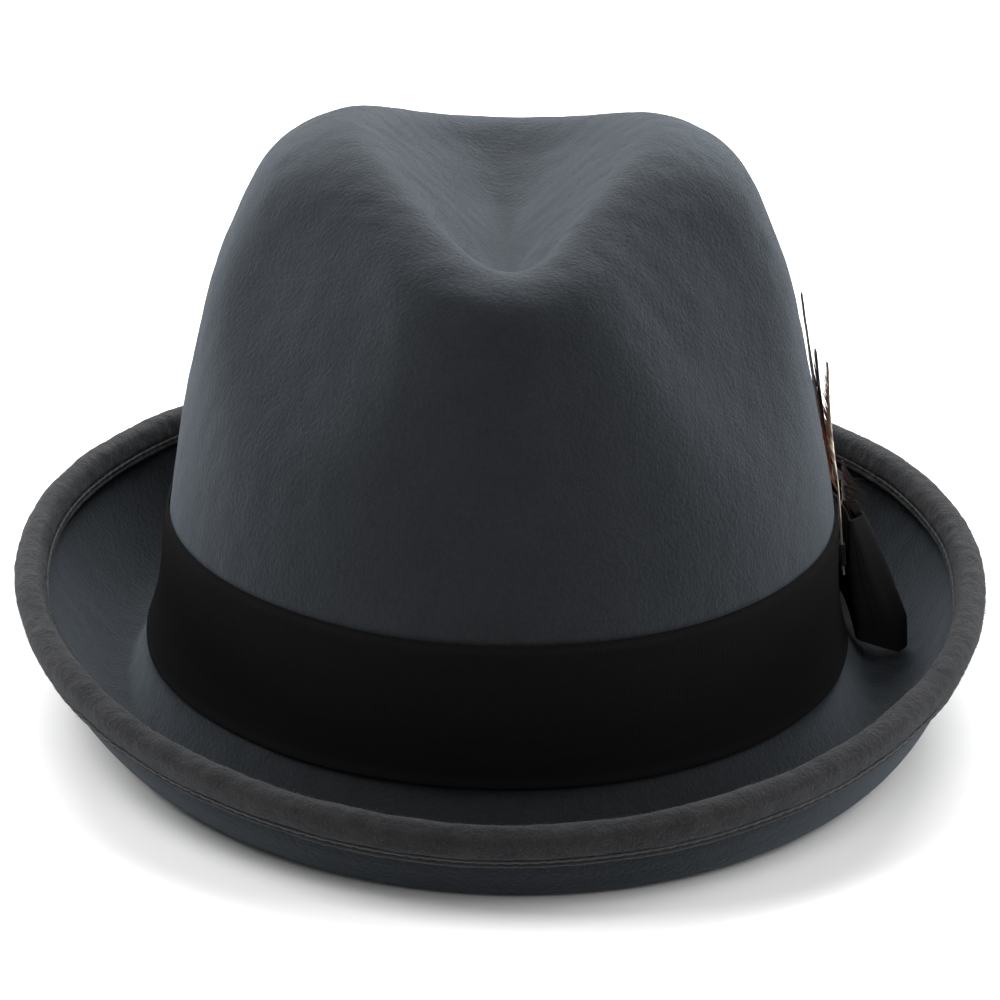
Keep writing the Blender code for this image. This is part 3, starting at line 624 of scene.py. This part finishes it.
def on_brim(reach, rise, count):
    """Ring hung on the brim: reach past the edge, or back from it if negative; rise off the felt."""
    outward, lines, normals, travel = brim_edge(count)
    rise = np.broadcast_to(rise, (count,))
    if reach >= 0:
        return lines[0] + outward * reach + normals[0] * rise[:, None]
    place = np.empty((count, 3))
    for column in range(count):
        sheet = lines[:, column] + normals[:, column] * rise[column]
        for axis in range(3):
            place[column, axis] = np.interp(-reach, travel[:, column], sheet[:, axis])
    return place


def stitch_wave(count):
    """1 where a stitch is on top and 0 where it dips into the felt."""
    length = np.linalg.norm(np.diff(brim_edge(count)[1][0], axis=0), axis=1).sum()
    stitches = round(length / STITCH_LENGTH)
    return 0.5 + 0.5 * np.cos(np.arange(count) * 2 * np.pi * stitches / count)


def make_binding():
    """Felt strip folded over the brim's edge, drawn in along its stitch line."""
    inside = FELT / 2 + GAP
    outside = inside + BINDING_PLY
    groove = -(BINDING_REACH - BINDING_RAW_EDGE)
    upper = [(-BINDING_REACH, inside + 0.1), (-BINDING_REACH - 0.1, outside - 0.75),
             (-BINDING_REACH + 0.6, outside - 0.2), (groove, outside - STITCH_GROOVE),
             (groove + 1.2, outside - 0.1), (-1.6, outside), (0.4, outside - 0.35)]
    fold = [(1.7, outside - 1.3), (GAP + BINDING_PLY, inside - 0.9)]
    half = upper + fold
    path = rounded_path(half + [(reach, -rise) for reach, rise in reversed(half)], 4)
    near_groove = np.exp(-((path[:, 0] - groove) / 0.6) ** 2) * (path[:, 0] < -2)
    # where the ridge of the raw edge gets its painted highlight
    raw = np.exp(-((path[:, 0] + BINDING_REACH - 0.1) / 0.55) ** 2)
    stitched = stitch_wave(BINDING_AROUND)
    rows = []
    for (reach, rise), near in zip(path, near_groove):
        dip = STITCH_PULL * near * (1 - stitched) * np.sign(rise)
        rows.append(on_brim(reach, rise - dip, BINDING_AROUND))
    rows = np.array(rows)
    around = np.roll(rows, -1, axis=1) - np.roll(rows, 1, axis=1)
    normal = unit(np.cross(np.gradient(rows, axis=0), around))
    fuzz = 0.05 * lumps(rows, 4.5, 31) + 0.08 * lumps(rows, 15.0, 32)
    rows = rows + normal * fuzz[..., None]
    hollow = [on_brim(GAP, -inside, BINDING_AROUND), on_brim(GAP, inside, BINDING_AROUND)]
    sections = np.concatenate([rows, hollow])
    raw = np.concatenate([raw, [0.0, 0.0]])
    faces = grid_faces(len(sections), BINDING_AROUND, True, True, flip=True)
    add_piece("brim_edge_binding", sections, faces, BINDING_SKIN, slot="felt_binding",
              replaces=["brim_binding"], raw_edge=np.repeat(raw, BINDING_AROUND))


def make_binding_threads():
    """Rows of stitches in the grooves; each stitch dips into the felt at its ends."""
    groove = -(BINDING_REACH - BINDING_RAW_EDGE)
    level = FELT / 2 + GAP + BINDING_PLY - STITCH_GROOVE + THREAD_RADIUS
    count = 2 * BINDING_AROUND
    rise = STITCH_RISE * (stitch_wave(count) ** 0.4 - 0.75)
    for name, side in (("binding_needle_thread", 1), ("binding_bobbin_thread", -1)):
        sections = [on_brim(groove + THREAD_RADIUS * math.cos(c),
                            side * (level + rise) + THREAD_RADIUS * math.sin(c), count)
                    for c in full_turn(6)]
        faces = grid_faces(6, count, True, True)
        add_piece(name + "_stitches", np.array(sections), faces, THREAD_SKIN, slot="thread",
                  replaces=[name])


# ---- nap

NAP_THICKNESS = 0.032       # half thickness of a wool fibre tuft at its root


def make_nap(name, rows, count, length, lift, surface, seed, slot):
    """Short bent wool fibres, closed spikes, that stand off a closed sheet of level lines."""
    rng = np.random.default_rng(seed)
    around = np.roll(rows, -1, axis=1) - rows
    along = np.diff(rows, axis=0)
    size = np.linalg.norm(np.cross(around[:-1], along), axis=-1).ravel()
    picked = rng.choice(size.size, count, p=size / size.sum())
    line, column = np.divmod(picked, rows.shape[1])
    across_way, along_way = around[line, column], along[line, column]
    root = (rows[line, column] + across_way * rng.random((count, 1)) + along_way * rng.random((count, 1)))
    normal = unit(np.cross(across_way, along_way))
    lean = unit(rng.normal(size=(count, 3)) + np.array([0.0, 0.0, -0.5]))
    lean = lean - normal * (lean * normal).sum(axis=1, keepdims=True)
    long = length * rng.uniform(0.5, 1.4, (count, 1))
    middle = root + (normal * lift + lean * 0.5) * long * 0.5
    tip = middle + (normal * lift * 0.6 + lean * 0.9) * long * 0.5
    side = unit(np.cross(normal, lean))
    points = []
    for place, thick in ((root - normal * 0.1, 1.0), (middle, 0.75)):
        for turn in full_turn(3):
            spoke = side * math.cos(turn) - unit(lean) * math.sin(turn)
            points.append(place + spoke * NAP_THICKNESS * thick)
    points = np.stack(points + [tip], axis=1)
    faces = np.array([[2, 1, 0, 0], [0, 1, 4, 3], [1, 2, 5, 4], [2, 0, 3, 5], [3, 4, 6, 6], [4, 5, 6, 6],
                      [5, 3, 6, 6]])
    first = np.arange(count)[:, None, None] * points.shape[1]
    faces = [face[:3] if face[2] == face[3] else face for face in (faces + first).reshape(-1, 4).tolist()]
    add_piece(name, points, faces, surface, slot=slot, sharp=180.0)


def make_brim_nap():
    """Fuzz on the outside of the rolled edge, as far as the stitches on both sides."""
    inside = FELT / 2 + GAP
    outside = inside + BINDING_PLY
    half = [(-BINDING_REACH + 0.4, outside - 0.3), (-4.4, outside - STITCH_GROOVE), (-3.0, outside - 0.1),
            (-1.6, outside), (0.4, outside - 0.35), (1.7, outside - 1.3), (GAP + BINDING_PLY, inside - 0.9)]
    path = half + [(reach, -rise) for reach, rise in reversed(half)]
    rows = np.array([on_brim(reach, rise, BINDING_AROUND) for reach, rise in path])
    make_nap("brim_edge_nap", rows[::-1], 32000, 0.95, 0.7, FUZZ_SKIN_PAINTED_HIGHLIGHT, 51, "felt_binding")


def make_crown_nap():
    """Nap on the crown, spread evenly by area from its middle height over the rims and into the hollow."""
    lines = felt_lines(full_turn(FINE_AROUND), FINE_RINGS)
    outer = lines + surface_normals(lines) * FELT / 2
    crown = sum(FINE_RINGS[:SPAN_CROWN_UPPER - 1])
    make_nap("crown_nap", outer[crown:-3], 30000, 0.55, 0.45, FELT_SKIN, 52, "felt")


# ---- ribbon band and bow


def weave_of(travel, rise):
    """Place along and across a ribbon, for its material."""
    return np.stack(np.broadcast_arrays(travel[None, :] * MM, rise[:, None] * MM, 0.0), axis=-1)


def selvedge_of(share):
    """1 on the cord-like line just inside each edge of a ribbon."""
    distance = np.minimum(share, 1 - share)
    return np.exp(-((distance - 0.025) / 0.012) ** 2)


def make_hat_band():
    """Ribbon round the crown's foot, its ends lapped under the bow."""
    columns, rows = 600, 27
    facet = np.linspace(BAND_LAP[0], BAND_FACETS + BAND_LAP[1], columns)
    angle = facet * 2 * np.pi / BAND_FACETS
    lift = (BAND_THICKNESS + GAP) * smooth_step((facet - BAND_FACETS - BAND_LAP[0] + 3) / 2)
    share = np.linspace(0, 1, rows)
    heights = BAND_BOTTOM + (BAND_TOP - BAND_BOTTOM) * share
    angles, levels = np.meshgrid(angle, heights)
    offset = FELT / 2 + GAP
    inner = crown_face(angles, levels, offset)
    outward = unit(crown_face(angles, levels, offset + 1.0) - inner)
    inner = inner + outward * lift[None, :, None]
    thickness = BAND_THICKNESS * (0.86 + 0.14 * selvedge_of(share))
    outer = inner + outward * thickness[:, None, None]
    sections = two_faced(inner, outer)
    travel = np.concatenate([[0.0], np.cumsum(np.linalg.norm(np.diff(inner[rows // 2], axis=0), axis=1))])
    both = np.concatenate([share, share[::-1]])
    weave = weave_of(travel, both * (BAND_TOP - BAND_BOTTOM))
    faces = grid_faces(2 * rows, columns, True, False, flip=True) + end_caps(2 * rows, columns, True)
    add_piece("ribbon_band", sections, faces, RIBBON_SKIN, slot="ribbon", replaces=["hat_band"],
              weave=weave, selvedge=np.repeat(selvedge_of(both), columns))


@lru_cache(maxsize=None)
def bow_frame():
    """Where the bow's middle sits on the band, and the directions along and out of it."""
    angle = math.radians(BOW_CENTRE)
    middle = face_point(angle, BOW_LEVEL)
    along = unit(middle - face_point(angle - 0.02, BOW_LEVEL))
    return middle, along, np.array([along[1], -along[0], 0.0])


def bow_layer(distance, share, standoff, opened):
    """Point of a bow layer: distance back from its middle, share up its height, standoff from the
    felt, opened 0 on the inner layer and 1 on the outer."""
    middle, along, out = bow_frame()
    flare = smooth_step(abs(distance) / BOW_HALF_LENGTH)
    middle_bottom = BOW_TOP - 1.0 - BOW_HEIGHT_MIDDLE
    end_bottom = BOW_BOTTOM_END + (BOW_REAR_RISE if distance > 0 else 0.0) + BOW_INNER_RISE * (1 - opened)
    bottom = middle_bottom + (end_bottom - middle_bottom) * flare
    height = bottom + (BOW_TOP - 1.0 + flare - bottom) * share
    curve = middle + along * distance
    angle = np.arctan2(curve[0] / CROWN_BASE.side, -curve[1] / CROWN_BASE.front)
    wall = face_point(angle, max(height, BAND_BOTTOM + 1.0))
    point = wall + out * (standoff + BOW_LEAN[int(distance > 0)] * flare * (1 - share) * opened)
    point[2] = height
    return point


def loop_path(straight):
    """Closed path of the flat loop: distance along the bow, and depth from its inner layer."""
    half = BOW_HALF_LENGTH - BOW_FOLD[-1][0] - 1.5
    layer = np.linspace(-half, half, straight)
    bend = [(half, 0.0)] + [(BOW_HALF_LENGTH - back, depth) for back, depth in BOW_FOLD]
    fold = rounded_path(bend + [(half, BOW_LOOP_DEPTH)], 3)[1:-1].tolist()
    path = [(distance, 0.0) for distance in layer] + fold
    path += [(distance, BOW_LOOP_DEPTH) for distance in layer[::-1]]
    path += [(-distance, depth) for distance, depth in fold[::-1]]
    return np.array(path)


def make_bow_loop():
    """Flat loop of ribbon; the lower corners of its outer layer stand away from the crown."""
    rows = 15
    path = loop_path(31)
    opened = np.clip(path[:, 1] / BOW_FOLD_OPEN, 0, 1)
    tangent = unit(np.roll(path, -1, axis=0) - np.roll(path, 1, axis=0))
    outward = np.stack([tangent[:, 1], -tangent[:, 0]], axis=1)
    shares = np.linspace(0, 1, rows)
    fullness = 0.78 + 0.42 * np.sin(np.pi * shares)
    faces = []
    for depth in (0.0, -BAND_THICKNESS):
        rail = path + outward * depth
        pinched = 1 - BOW_WAIST * np.exp(-(rail[:, 0] / BOW_WAIST_LENGTH) ** 2)
        faces.append(np.array([[bow_layer(distance, share, BOW_STANDOFF + standoff * squeeze * full, leaves)
                                for (distance, standoff), squeeze, leaves in zip(rail, pinched, opened)]
                               for share, full in zip(shares, fullness)]))
    sections = two_faced(faces[1], faces[0])
    travel = np.cumsum(np.linalg.norm(np.diff(path, axis=0, prepend=path[-1:]), axis=1))
    both = np.concatenate([shares, shares[::-1]])
    weave = weave_of(travel, both * (BAND_TOP - BAND_BOTTOM))
    add_piece("bow_flat_loop", sections, grid_faces(2 * rows, len(path), True, True), BOW_SKIN_PAINTED_LIGHTER,
              slot="ribbon", replaces=["bow_loop"], weave=weave,
              selvedge=np.repeat(selvedge_of(both), len(path)))


def make_bow_knot():
    """Short ribbon wrapped round the bow's middle, its face gathered into soft folds."""
    _, along, out = bow_frame()
    behind = 3 * GAP + 2 * BAND_THICKNESS
    front = BOW_STANDOFF + BOW_LOOP_DEPTH + GAP + BAND_THICKNESS
    top = BOW_TOP + KNOT_ABOVE
    bottom = BOW_TOP - 1.0 - BOW_HEIGHT_MIDDLE - KNOT_BELOW
    corners, across_rows = 72, 17
    across = np.linspace(-0.5, 0.5, across_rows)
    sheets = []
    for shrink in (0.0, BAND_THICKNESS):
        sheet = np.empty((across_rows, corners, 3))
        for j, step in enumerate(full_turn(corners)):
            c, s = blunt(math.cos(step), KNOT_ROUNDNESS), blunt(math.sin(step), KNOT_ROUNDNESS)
            height = (top + bottom) / 2 + s * ((top - bottom) / 2 - shrink)
            depth = (front + behind) / 2 + c * ((front - behind) / 2 - shrink)
            wall = face_point(math.radians(BOW_CENTRE), height)
            for i, side in enumerate(across):
                fold = 0.16 * math.cos(side * 4 * np.pi) * max(c, 0.0) * (1 - abs(s) ** 4)
                point = wall + out * (depth + fold) + along * KNOT_WIDTH * side
                point[2] = height
                sheet[i, j] = point
        sheets.append(sheet)
    sections = two_faced(sheets[0], sheets[1])
    both = np.concatenate([across, across[::-1]]) + 0.5
    weave = weave_of(np.linspace(0, KNOT_GIRTH, corners), both * KNOT_WIDTH)
    faces = grid_faces(2 * across_rows, corners, True, True, flip=True)
    add_piece("bow_wrapped_knot", sections, faces, BOW_SKIN_PAINTED_LIGHTER, slot="ribbon", replaces=["bow_knot"],
              weave=weave, selvedge=np.repeat(selvedge_of(both), corners))


# ---- inside of the hat


def make_sweatband():
    """Woven strip that sits on the head, against the inside of the crown."""
    rows, columns = 13, FINE_AROUND
    angles, levels = np.meshgrid(full_turn(columns), np.linspace(SWEATBAND_BOTTOM, SWEATBAND_TOP, rows))
    outer, inner = [crown_face(angles, levels, -FELT / 2 - GAP - depth)
                    for depth in (0.0, SWEATBAND_THICKNESS)]
    both = np.concatenate([levels[:, 0], levels[::-1, 0]])
    faces = grid_faces(2 * rows, columns, True, True, flip=True)
    add_piece("sweatband_strip", two_faced(inner, outer), faces, SWEATBAND_SKIN, slot="sweatband",
              replaces=["sweatband"], weave=weave_of(np.linspace(0, SWEATBAND_LENGTH, columns), both))


def make_crown_ring(name, height, offset, radius, surface, slot, replaced, dips=0.0, corners=8):
    """Thin round ring that follows the crown's wall at one height; dips makes it a row of stitches."""
    count = 3 * FINE_AROUND
    wave = dips * (0.5 + 0.5 * np.cos(np.arange(count) * 2 * np.pi * SWEATBAND_STITCHES / count)) ** 2
    turn = full_turn(count)
    place = crown_face(turn, np.full(count, height), offset)
    outward = unit(crown_face(turn, np.full(count, height), offset + 1.0) - place)
    sections = [place + outward * (wave + radius * math.cos(c))[:, None]
                + np.array([0.0, 0.0, radius * math.sin(c)]) for c in full_turn(corners)]
    add_piece(name, np.array(sections), grid_faces(corners, count, True, True), surface, slot=slot,
              replaces=[replaced])


def lining_line(share, offset, columns):
    """Level line of the lining's side wall: share 0 is its lower edge, 1 the oval tip."""
    angle = full_turn(columns)
    foot = crown_face(angle, np.full(columns, LINING_BOTTOM), -FELT / 2 - GAP - SWEATBAND_THICKNESS / 2)
    side, front, back = LINING_TIP
    tip = station_line(Station(side, front, back, *(LINING_TIP_HEIGHT,) * 3, 0.0), angle)
    line = foot + (tip - foot) * share
    away = unit(line * (1.0, 1.0, 0.0))
    pleat = PLEAT_DEPTH * np.cos(angle * PLEATS) * smooth_step(share * 1.2) * (1 - share ** 8)
    return line + away * (offset + pleat)[:, None]


def make_lining():
    """Satin side wall, lightly gathered towards its oval tip, and the tip."""
    columns = 2 * FINE_AROUND
    shares = np.linspace(0, 1, 15)
    outer, inner = [np.array([lining_line(share, offset, columns) for share in shares])
                    for offset in (0.0, -LINING_THICKNESS)]
    add_piece("lining_side_wall", two_faced(inner, outer),
              grid_faces(2 * len(shares), columns, True, True, flip=True), SATIN_SKIN, slot="lining",
              replaces=["lining_side"])
    rim = lining_line(1.0, 0.0, columns)
    centre = np.array([0.0, (LINING_TIP[2] - LINING_TIP[1]) / 2, LINING_TIP_HEIGHT])
    rings = np.linspace(1.0, 0.02, 24)
    rows = []
    for level, order in ((0.0, rings), (1.0, rings[::-1])):
        for share in order:
            line = centre + (rim - centre) * share
            line[:, 2] += GAP + level * LINING_THICKNESS + LINING_CROWN_RISE * (1 - share ** 2)
            rows.append(line)
    sheet = grid_faces(len(rings), columns, False, True, flip=True)
    upper = len(rings) * columns
    faces = sheet + [[corner + upper for corner in face] for face in sheet]
    last = (2 * len(rings) - 1) * columns
    faces += [[c, (c + 1) % columns, last + (c + 1) % columns, last + c] for c in range(columns)]
    faces += [list(range(upper - columns, upper))[::-1], list(range(upper, upper + columns))]
    add_piece("lining_oval_tip", np.array(rows), faces, SATIN_SKIN, slot="lining", replaces=["lining_tip"])


def make_inside():
    make_sweatband()
    middle = -FELT / 2 - GAP - SWEATBAND_THICKNESS / 2
    make_crown_ring("sweatband_reed_cord", SWEATBAND_BOTTOM - GAP - REED_RADIUS, middle, REED_RADIUS,
                    THREAD_SKIN, "sweatband", "sweatband_reed")
    face = -FELT / 2 - GAP - SWEATBAND_THICKNESS
    make_crown_ring("sweatband_stitches", SWEATBAND_STITCH_LINE, face - GAP - THREAD_RADIUS, THREAD_RADIUS,
                    THREAD_SKIN, "thread", "sweatband_thread", dips=0.5)
    make_lining()


# ---- feathers

BARB_STEPS = 6

@lru_cache(maxsize=None)
def side_line(height):
    angle = np.radians(np.linspace(60, 150, 46))
    return crown_face(angle, np.full(46, height), FELT / 2)


def side_reach(y, height):
    """How far the felt's outer face reaches to the hat's left at a depth and a height."""
    line = side_line(round(float(height), 2))
    return np.interp(y, line[:, 1], line[:, 0])


@lru_cache(maxsize=None)
def quill_axis():
    """Lower end of the quills, the direction in which they slide, and the way across the bunch."""
    y, height = FEATHER_BASE
    start = np.array([side_reach(y, height) + QUILL_STANDOFF, y, height])
    direction = unit(np.array([-math.tan(FEATHER_LEAN), math.tan(FEATHER_TILT), 1.0]))
    return start, direction, unit(np.array([0.0, direction[2], -direction[1]]))


def feather_spine(feather, travel):
    """Middle of a feather so far from its lower end, and half the width of its vane there."""
    start, direction, across = quill_axis()
    quill = start + across * QUILL_PITCH * (feather.place - 1.5) + direction * travel
    free = max(travel - feather.bare + 4.0, 0.0)
    quill = quill + across * free * math.tan(math.radians(feather.fan))
    settle = smooth_step((travel - feather.bare + 3.0) / 4.0)
    layer = side_reach(quill[1], quill[2]) + feather.layer
    share = np.clip((travel - feather.bare) / (feather.length - feather.bare), 0, 1)
    quill[0] = quill[0] + (layer - quill[0]) * settle + feather.curl * share ** 2
    swell = smooth_step(share / 0.25) * np.sqrt(np.clip(1 - share ** 2.6, 0, 1))
    return quill, feather.vane / 2 * swell


def quill_mesh(feather, spine, stops, across):
    """Points and faces of a tapered quill along the spine."""
    sides = 6
    points = []
    for place, stop in zip(spine, stops):
        taper = 1 - 0.85 * stop / feather.length
        for corner in full_turn(sides):
            points.append(place + across * QUILL_WIDTH / 2 * taper * math.cos(corner)
                          + np.array([QUILL_THICKNESS / 2 * taper * math.sin(corner), 0.0, 0.0]))
    caps = [list(range(sides)), list(range(len(points) - sides, len(points)))[::-1]]
    return points, grid_faces(len(stops), sides, False, True, flip=True) + caps


def barb_faces(first, flip):
    """Faces of one closed barb whose points start at first."""
    last = first + 4 * BARB_STEPS
    strip = [[corner + first for corner in face]
             for face in grid_faces(BARB_STEPS + 1, 4, False, True, flip=flip)]
    caps = [[first, first + 1, first + 2, first + 3], [last + 3, last + 2, last + 1, last]]
    return strip + ([cap[::-1] for cap in caps] if flip else caps)


def make_feather(feather, surface, seed, barb_pitch=0.42, slack=0.12, camber=0.0, outward=0.0, droop=0.0,
                 curl=0.0):
    """Tapered quill with closed, slightly parted barbs on both sides."""
    rng = np.random.default_rng(seed)
    _, direction, across = quill_axis()
    stops = np.concatenate([np.linspace(0, feather.bare, 9)[:-1],
                            np.linspace(feather.bare, feather.length, 30)])
    points, faces = quill_mesh(feather, [feather_spine(feather, stop)[0] for stop in stops], stops, across)
    along = np.repeat(stops / feather.length, len(points) // len(stops)).tolist()
    tip_share = [0.0] * len(points)
    quill = [1.0] * len(points)
    vane_length = feather.length - feather.bare
    roots = np.arange(feather.bare + 0.5, feather.length - 0.6, barb_pitch)
    if droop:
        roots = roots[0] + (roots - roots[0]) ** 1.8 / (roots[-1] - roots[0]) ** 0.8
    width = 0.3 if curl == 0 else 0.16
    for side in (-1.0, 1.0):
        part = 0.0
        for root in roots:
            if rng.random() < 0.07:
                part = rng.uniform(-1.4, 1.4)
            part *= 0.86
            base, _ = feather_spine(feather, root)
            sweep = feather.vane * (0.42 + 0.3 * (root - feather.bare) / vane_length) + part
            sweep = min(sweep, (feather.length - root) * 0.95 + 0.8)
            _, half = feather_spine(feather, min(root + 0.45 * sweep, feather.length - 0.2))
            half = half * rng.uniform(1 - slack, 1.02)
            if half < 0.3:
                continue
            tip_base, _ = feather_spine(feather, min(root + sweep, feather.length))
            reach = tip_base + across * side * half - base
            drift = rng.uniform(-0.16, 0.16)
            lift = outward * rng.uniform(0.6, 1.0) - camber * (2 * half / feather.vane) ** 2
            wander = rng.normal(size=3) * curl
            faces += barb_faces(len(points), side < 0)
            for t in np.linspace(0, 1, BARB_STEPS + 1):
                bulge = math.sin(math.pi * t)
                middle = base + reach * t + (across * side * half * 0.35 - direction * sweep * 0.16) * bulge
                middle = middle + wander * t * t * half - direction * droop * t * t
                middle[0] += drift * t + lift * t * t
                for a, b in ((-1, -1), (1, -1), (1, 1), (-1, 1)):
                    points.append(middle + direction * (width * (1 - 0.75 * t) + 0.04) * a
                                  + np.array([0.09 * (1 - 0.6 * t) * b, 0.0, 0.0]))
                    along.append(np.clip((root + sweep * t) / feather.length, 0, 1.1))
                    tip_share.append(t)
                    quill.append(0.0)
    add_piece(feather.name + "_barbs", np.array(points), faces, surface, body="feathers",
              slot=feather.name, replaces=[feather.name], sharp=80.0, along=along, across=tip_share,
              quill=quill)


def make_feather_wrap():
    """Thread wound round the four quills, ten turns."""
    start, direction, across = quill_axis()
    through = np.array([1.0, 0.0, 0.0])
    turns, per_turn, corners, radius = 10, 28, 6, 0.26
    half_width = 1.5 * QUILL_PITCH + QUILL_WIDTH / 2 + GAP
    half_depth = QUILL_THICKNESS / 2 + GAP
    path = []
    for k in range(turns * per_turn + 1):
        step = 2 * math.pi * k / per_turn
        c = blunt(math.cos(step), 0.5) * (half_width + 0.1)
        s = blunt(math.sin(step), 0.5) * (half_depth + 0.1)
        travel = WRAP_BOTTOM + (WRAP_TOP - WRAP_BOTTOM) * k / (turns * per_turn)
        path.append(start + direction * travel + across * c + through * s)
    path = np.array(path)
    centre = start + direction * ((path - start) @ direction)[:, None]
    away = unit(path - centre)
    sections = np.array([path + (away * math.cos(c) + direction * math.sin(c)) * radius
                         for c in full_turn(corners)])
    faces = grid_faces(corners, len(path), True, False, flip=True) + end_caps(corners, len(path), True)
    add_piece("feather_thread_wrap", sections, faces, WRAP_SKIN, body="feathers", slot="thread",
              replaces=["feather_wrap"])


# colour of the vane, of its tip or bars, how many radians of bars along it, and colour of the quill
FEATHER_COLOURS = {
    "chestnut": ((0.24, 0.045, 0.018), (0.03, 0.012, 0.01), 0.0, (0.1, 0.035, 0.018)),
    "orange": ((0.5, 0.13, 0.025), (0.01, 0.007, 0.006), 0.0, (0.16, 0.06, 0.03)),
    "cream": ((0.68, 0.58, 0.42), (0.09, 0.045, 0.025), 60.0, (0.75, 0.66, 0.5)),
    "down": ((0.032, 0.017, 0.015), (0.018, 0.011, 0.01), 0.0, (0.35, 0.26, 0.18)),
}


def make_feathers():
    skins = {name: feather_material("feather_%s_skin" % name, *colours)
             for name, colours in FEATHER_COLOURS.items()}
    make_feather(CHESTNUT, skins["chestnut"], 41, camber=0.25)
    make_feather(ORANGE, skins["orange"], 42, camber=1.3)
    make_feather(CREAM, skins["cream"], 43, camber=1.9)
    make_feather(DOWN, skins["down"], 44, barb_pitch=0.13, slack=0.5, outward=4.2, droop=9.0, curl=0.3)
    make_feather_wrap()


# ---- studio


def make_floor():
    """Plain white sheet that the hat rests on."""
    half = 4.0
    mesh = bpy.data.meshes.new("floor")
    mesh.from_pydata([(-half, -half, 0), (half, -half, 0), (half, half, 0), (-half, half, 0)], [],
                     [(0, 1, 2, 3)])
    white = Nodes("floor_white", 0.9, Specular_IOR_Level=0.1)
    white.colour((0.9, 0.9, 0.9, 1.0))
    mesh.materials.append(white.material)
    floor = bpy.data.objects.new("floor", mesh)
    scene.collection.objects.link(floor)


SOFTBOXES = (("back_top", (0.0, 1.2, 1.0), (1.6, 0.8), 56.0),
             ("left_back", (-0.9, 1.0, 0.6), (0.9, 0.9), 1.5),
             ("left_high", (-0.9, 0.1, 1.0), (0.7, 0.7), 13.7),
             ("right_high", (0.9, 0.1, 1.0), (0.7, 0.7), 6.1),
             ("right", (1.2, 0.1, 0.5), (0.9, 0.9), 7.8),
             ("front_high", (0.0, -0.8, 1.2), (1.0, 0.8), 4.6))
LIGHTS_AIM = Vector((0.0, 0.0, 0.06))


def make_lights():
    """Large soft light above and behind, weaker ones to the sides and a faint one in front."""
    for name, place, size, watts in SOFTBOXES:
        light = bpy.data.lights.new(name + "_softbox", "AREA")
        light.shape = "RECTANGLE"
        light.size, light.size_y = size
        light.energy = watts
        made = bpy.data.objects.new(light.name, light)
        made.location = place
        made.rotation_euler = (LIGHTS_AIM - Vector(place)).to_track_quat("-Z", "Y").to_euler()
        scene.collection.objects.link(made)
    world = bpy.data.worlds.new("studio")
    world.use_nodes = True
    world.node_tree.nodes["Background"].inputs["Color"].default_value = (1.0, 1.0, 1.0, 1.0)
    world.node_tree.nodes["Background"].inputs["Strength"].default_value = 0.2
    scene.world = world


CAMERA_TARGET = Vector((-0.0006, 0.00094, 0.04656))
CAMERA_DISTANCE = 1.0
CAMERA_ELEVATION = math.radians(21.65)
CAMERA_ROLL = math.radians(1.25)


def make_camera():
    lens = bpy.data.cameras.new("camera")
    lens.lens = 142.2
    lens.sensor_width = 36.0
    camera = bpy.data.objects.new("camera", lens)
    back = Vector((0.0, -math.cos(CAMERA_ELEVATION), math.sin(CAMERA_ELEVATION)))
    camera.location = CAMERA_TARGET + back * CAMERA_DISTANCE
    camera.rotation_mode = "QUATERNION"
    camera.rotation_quaternion = (-back).to_track_quat("-Z", "Y") @ Quaternion((0, 0, 1), CAMERA_ROLL)
    scene.collection.objects.link(camera)
    scene.camera = camera


make_camera()
make_floor()
make_lights()
make_felt_body()
make_binding()
make_binding_threads()
make_brim_nap()
make_crown_nap()
make_hat_band()
make_bow_loop()
make_bow_knot()
make_inside()
make_feathers()
scene.view_settings.view_transform = "Standard"
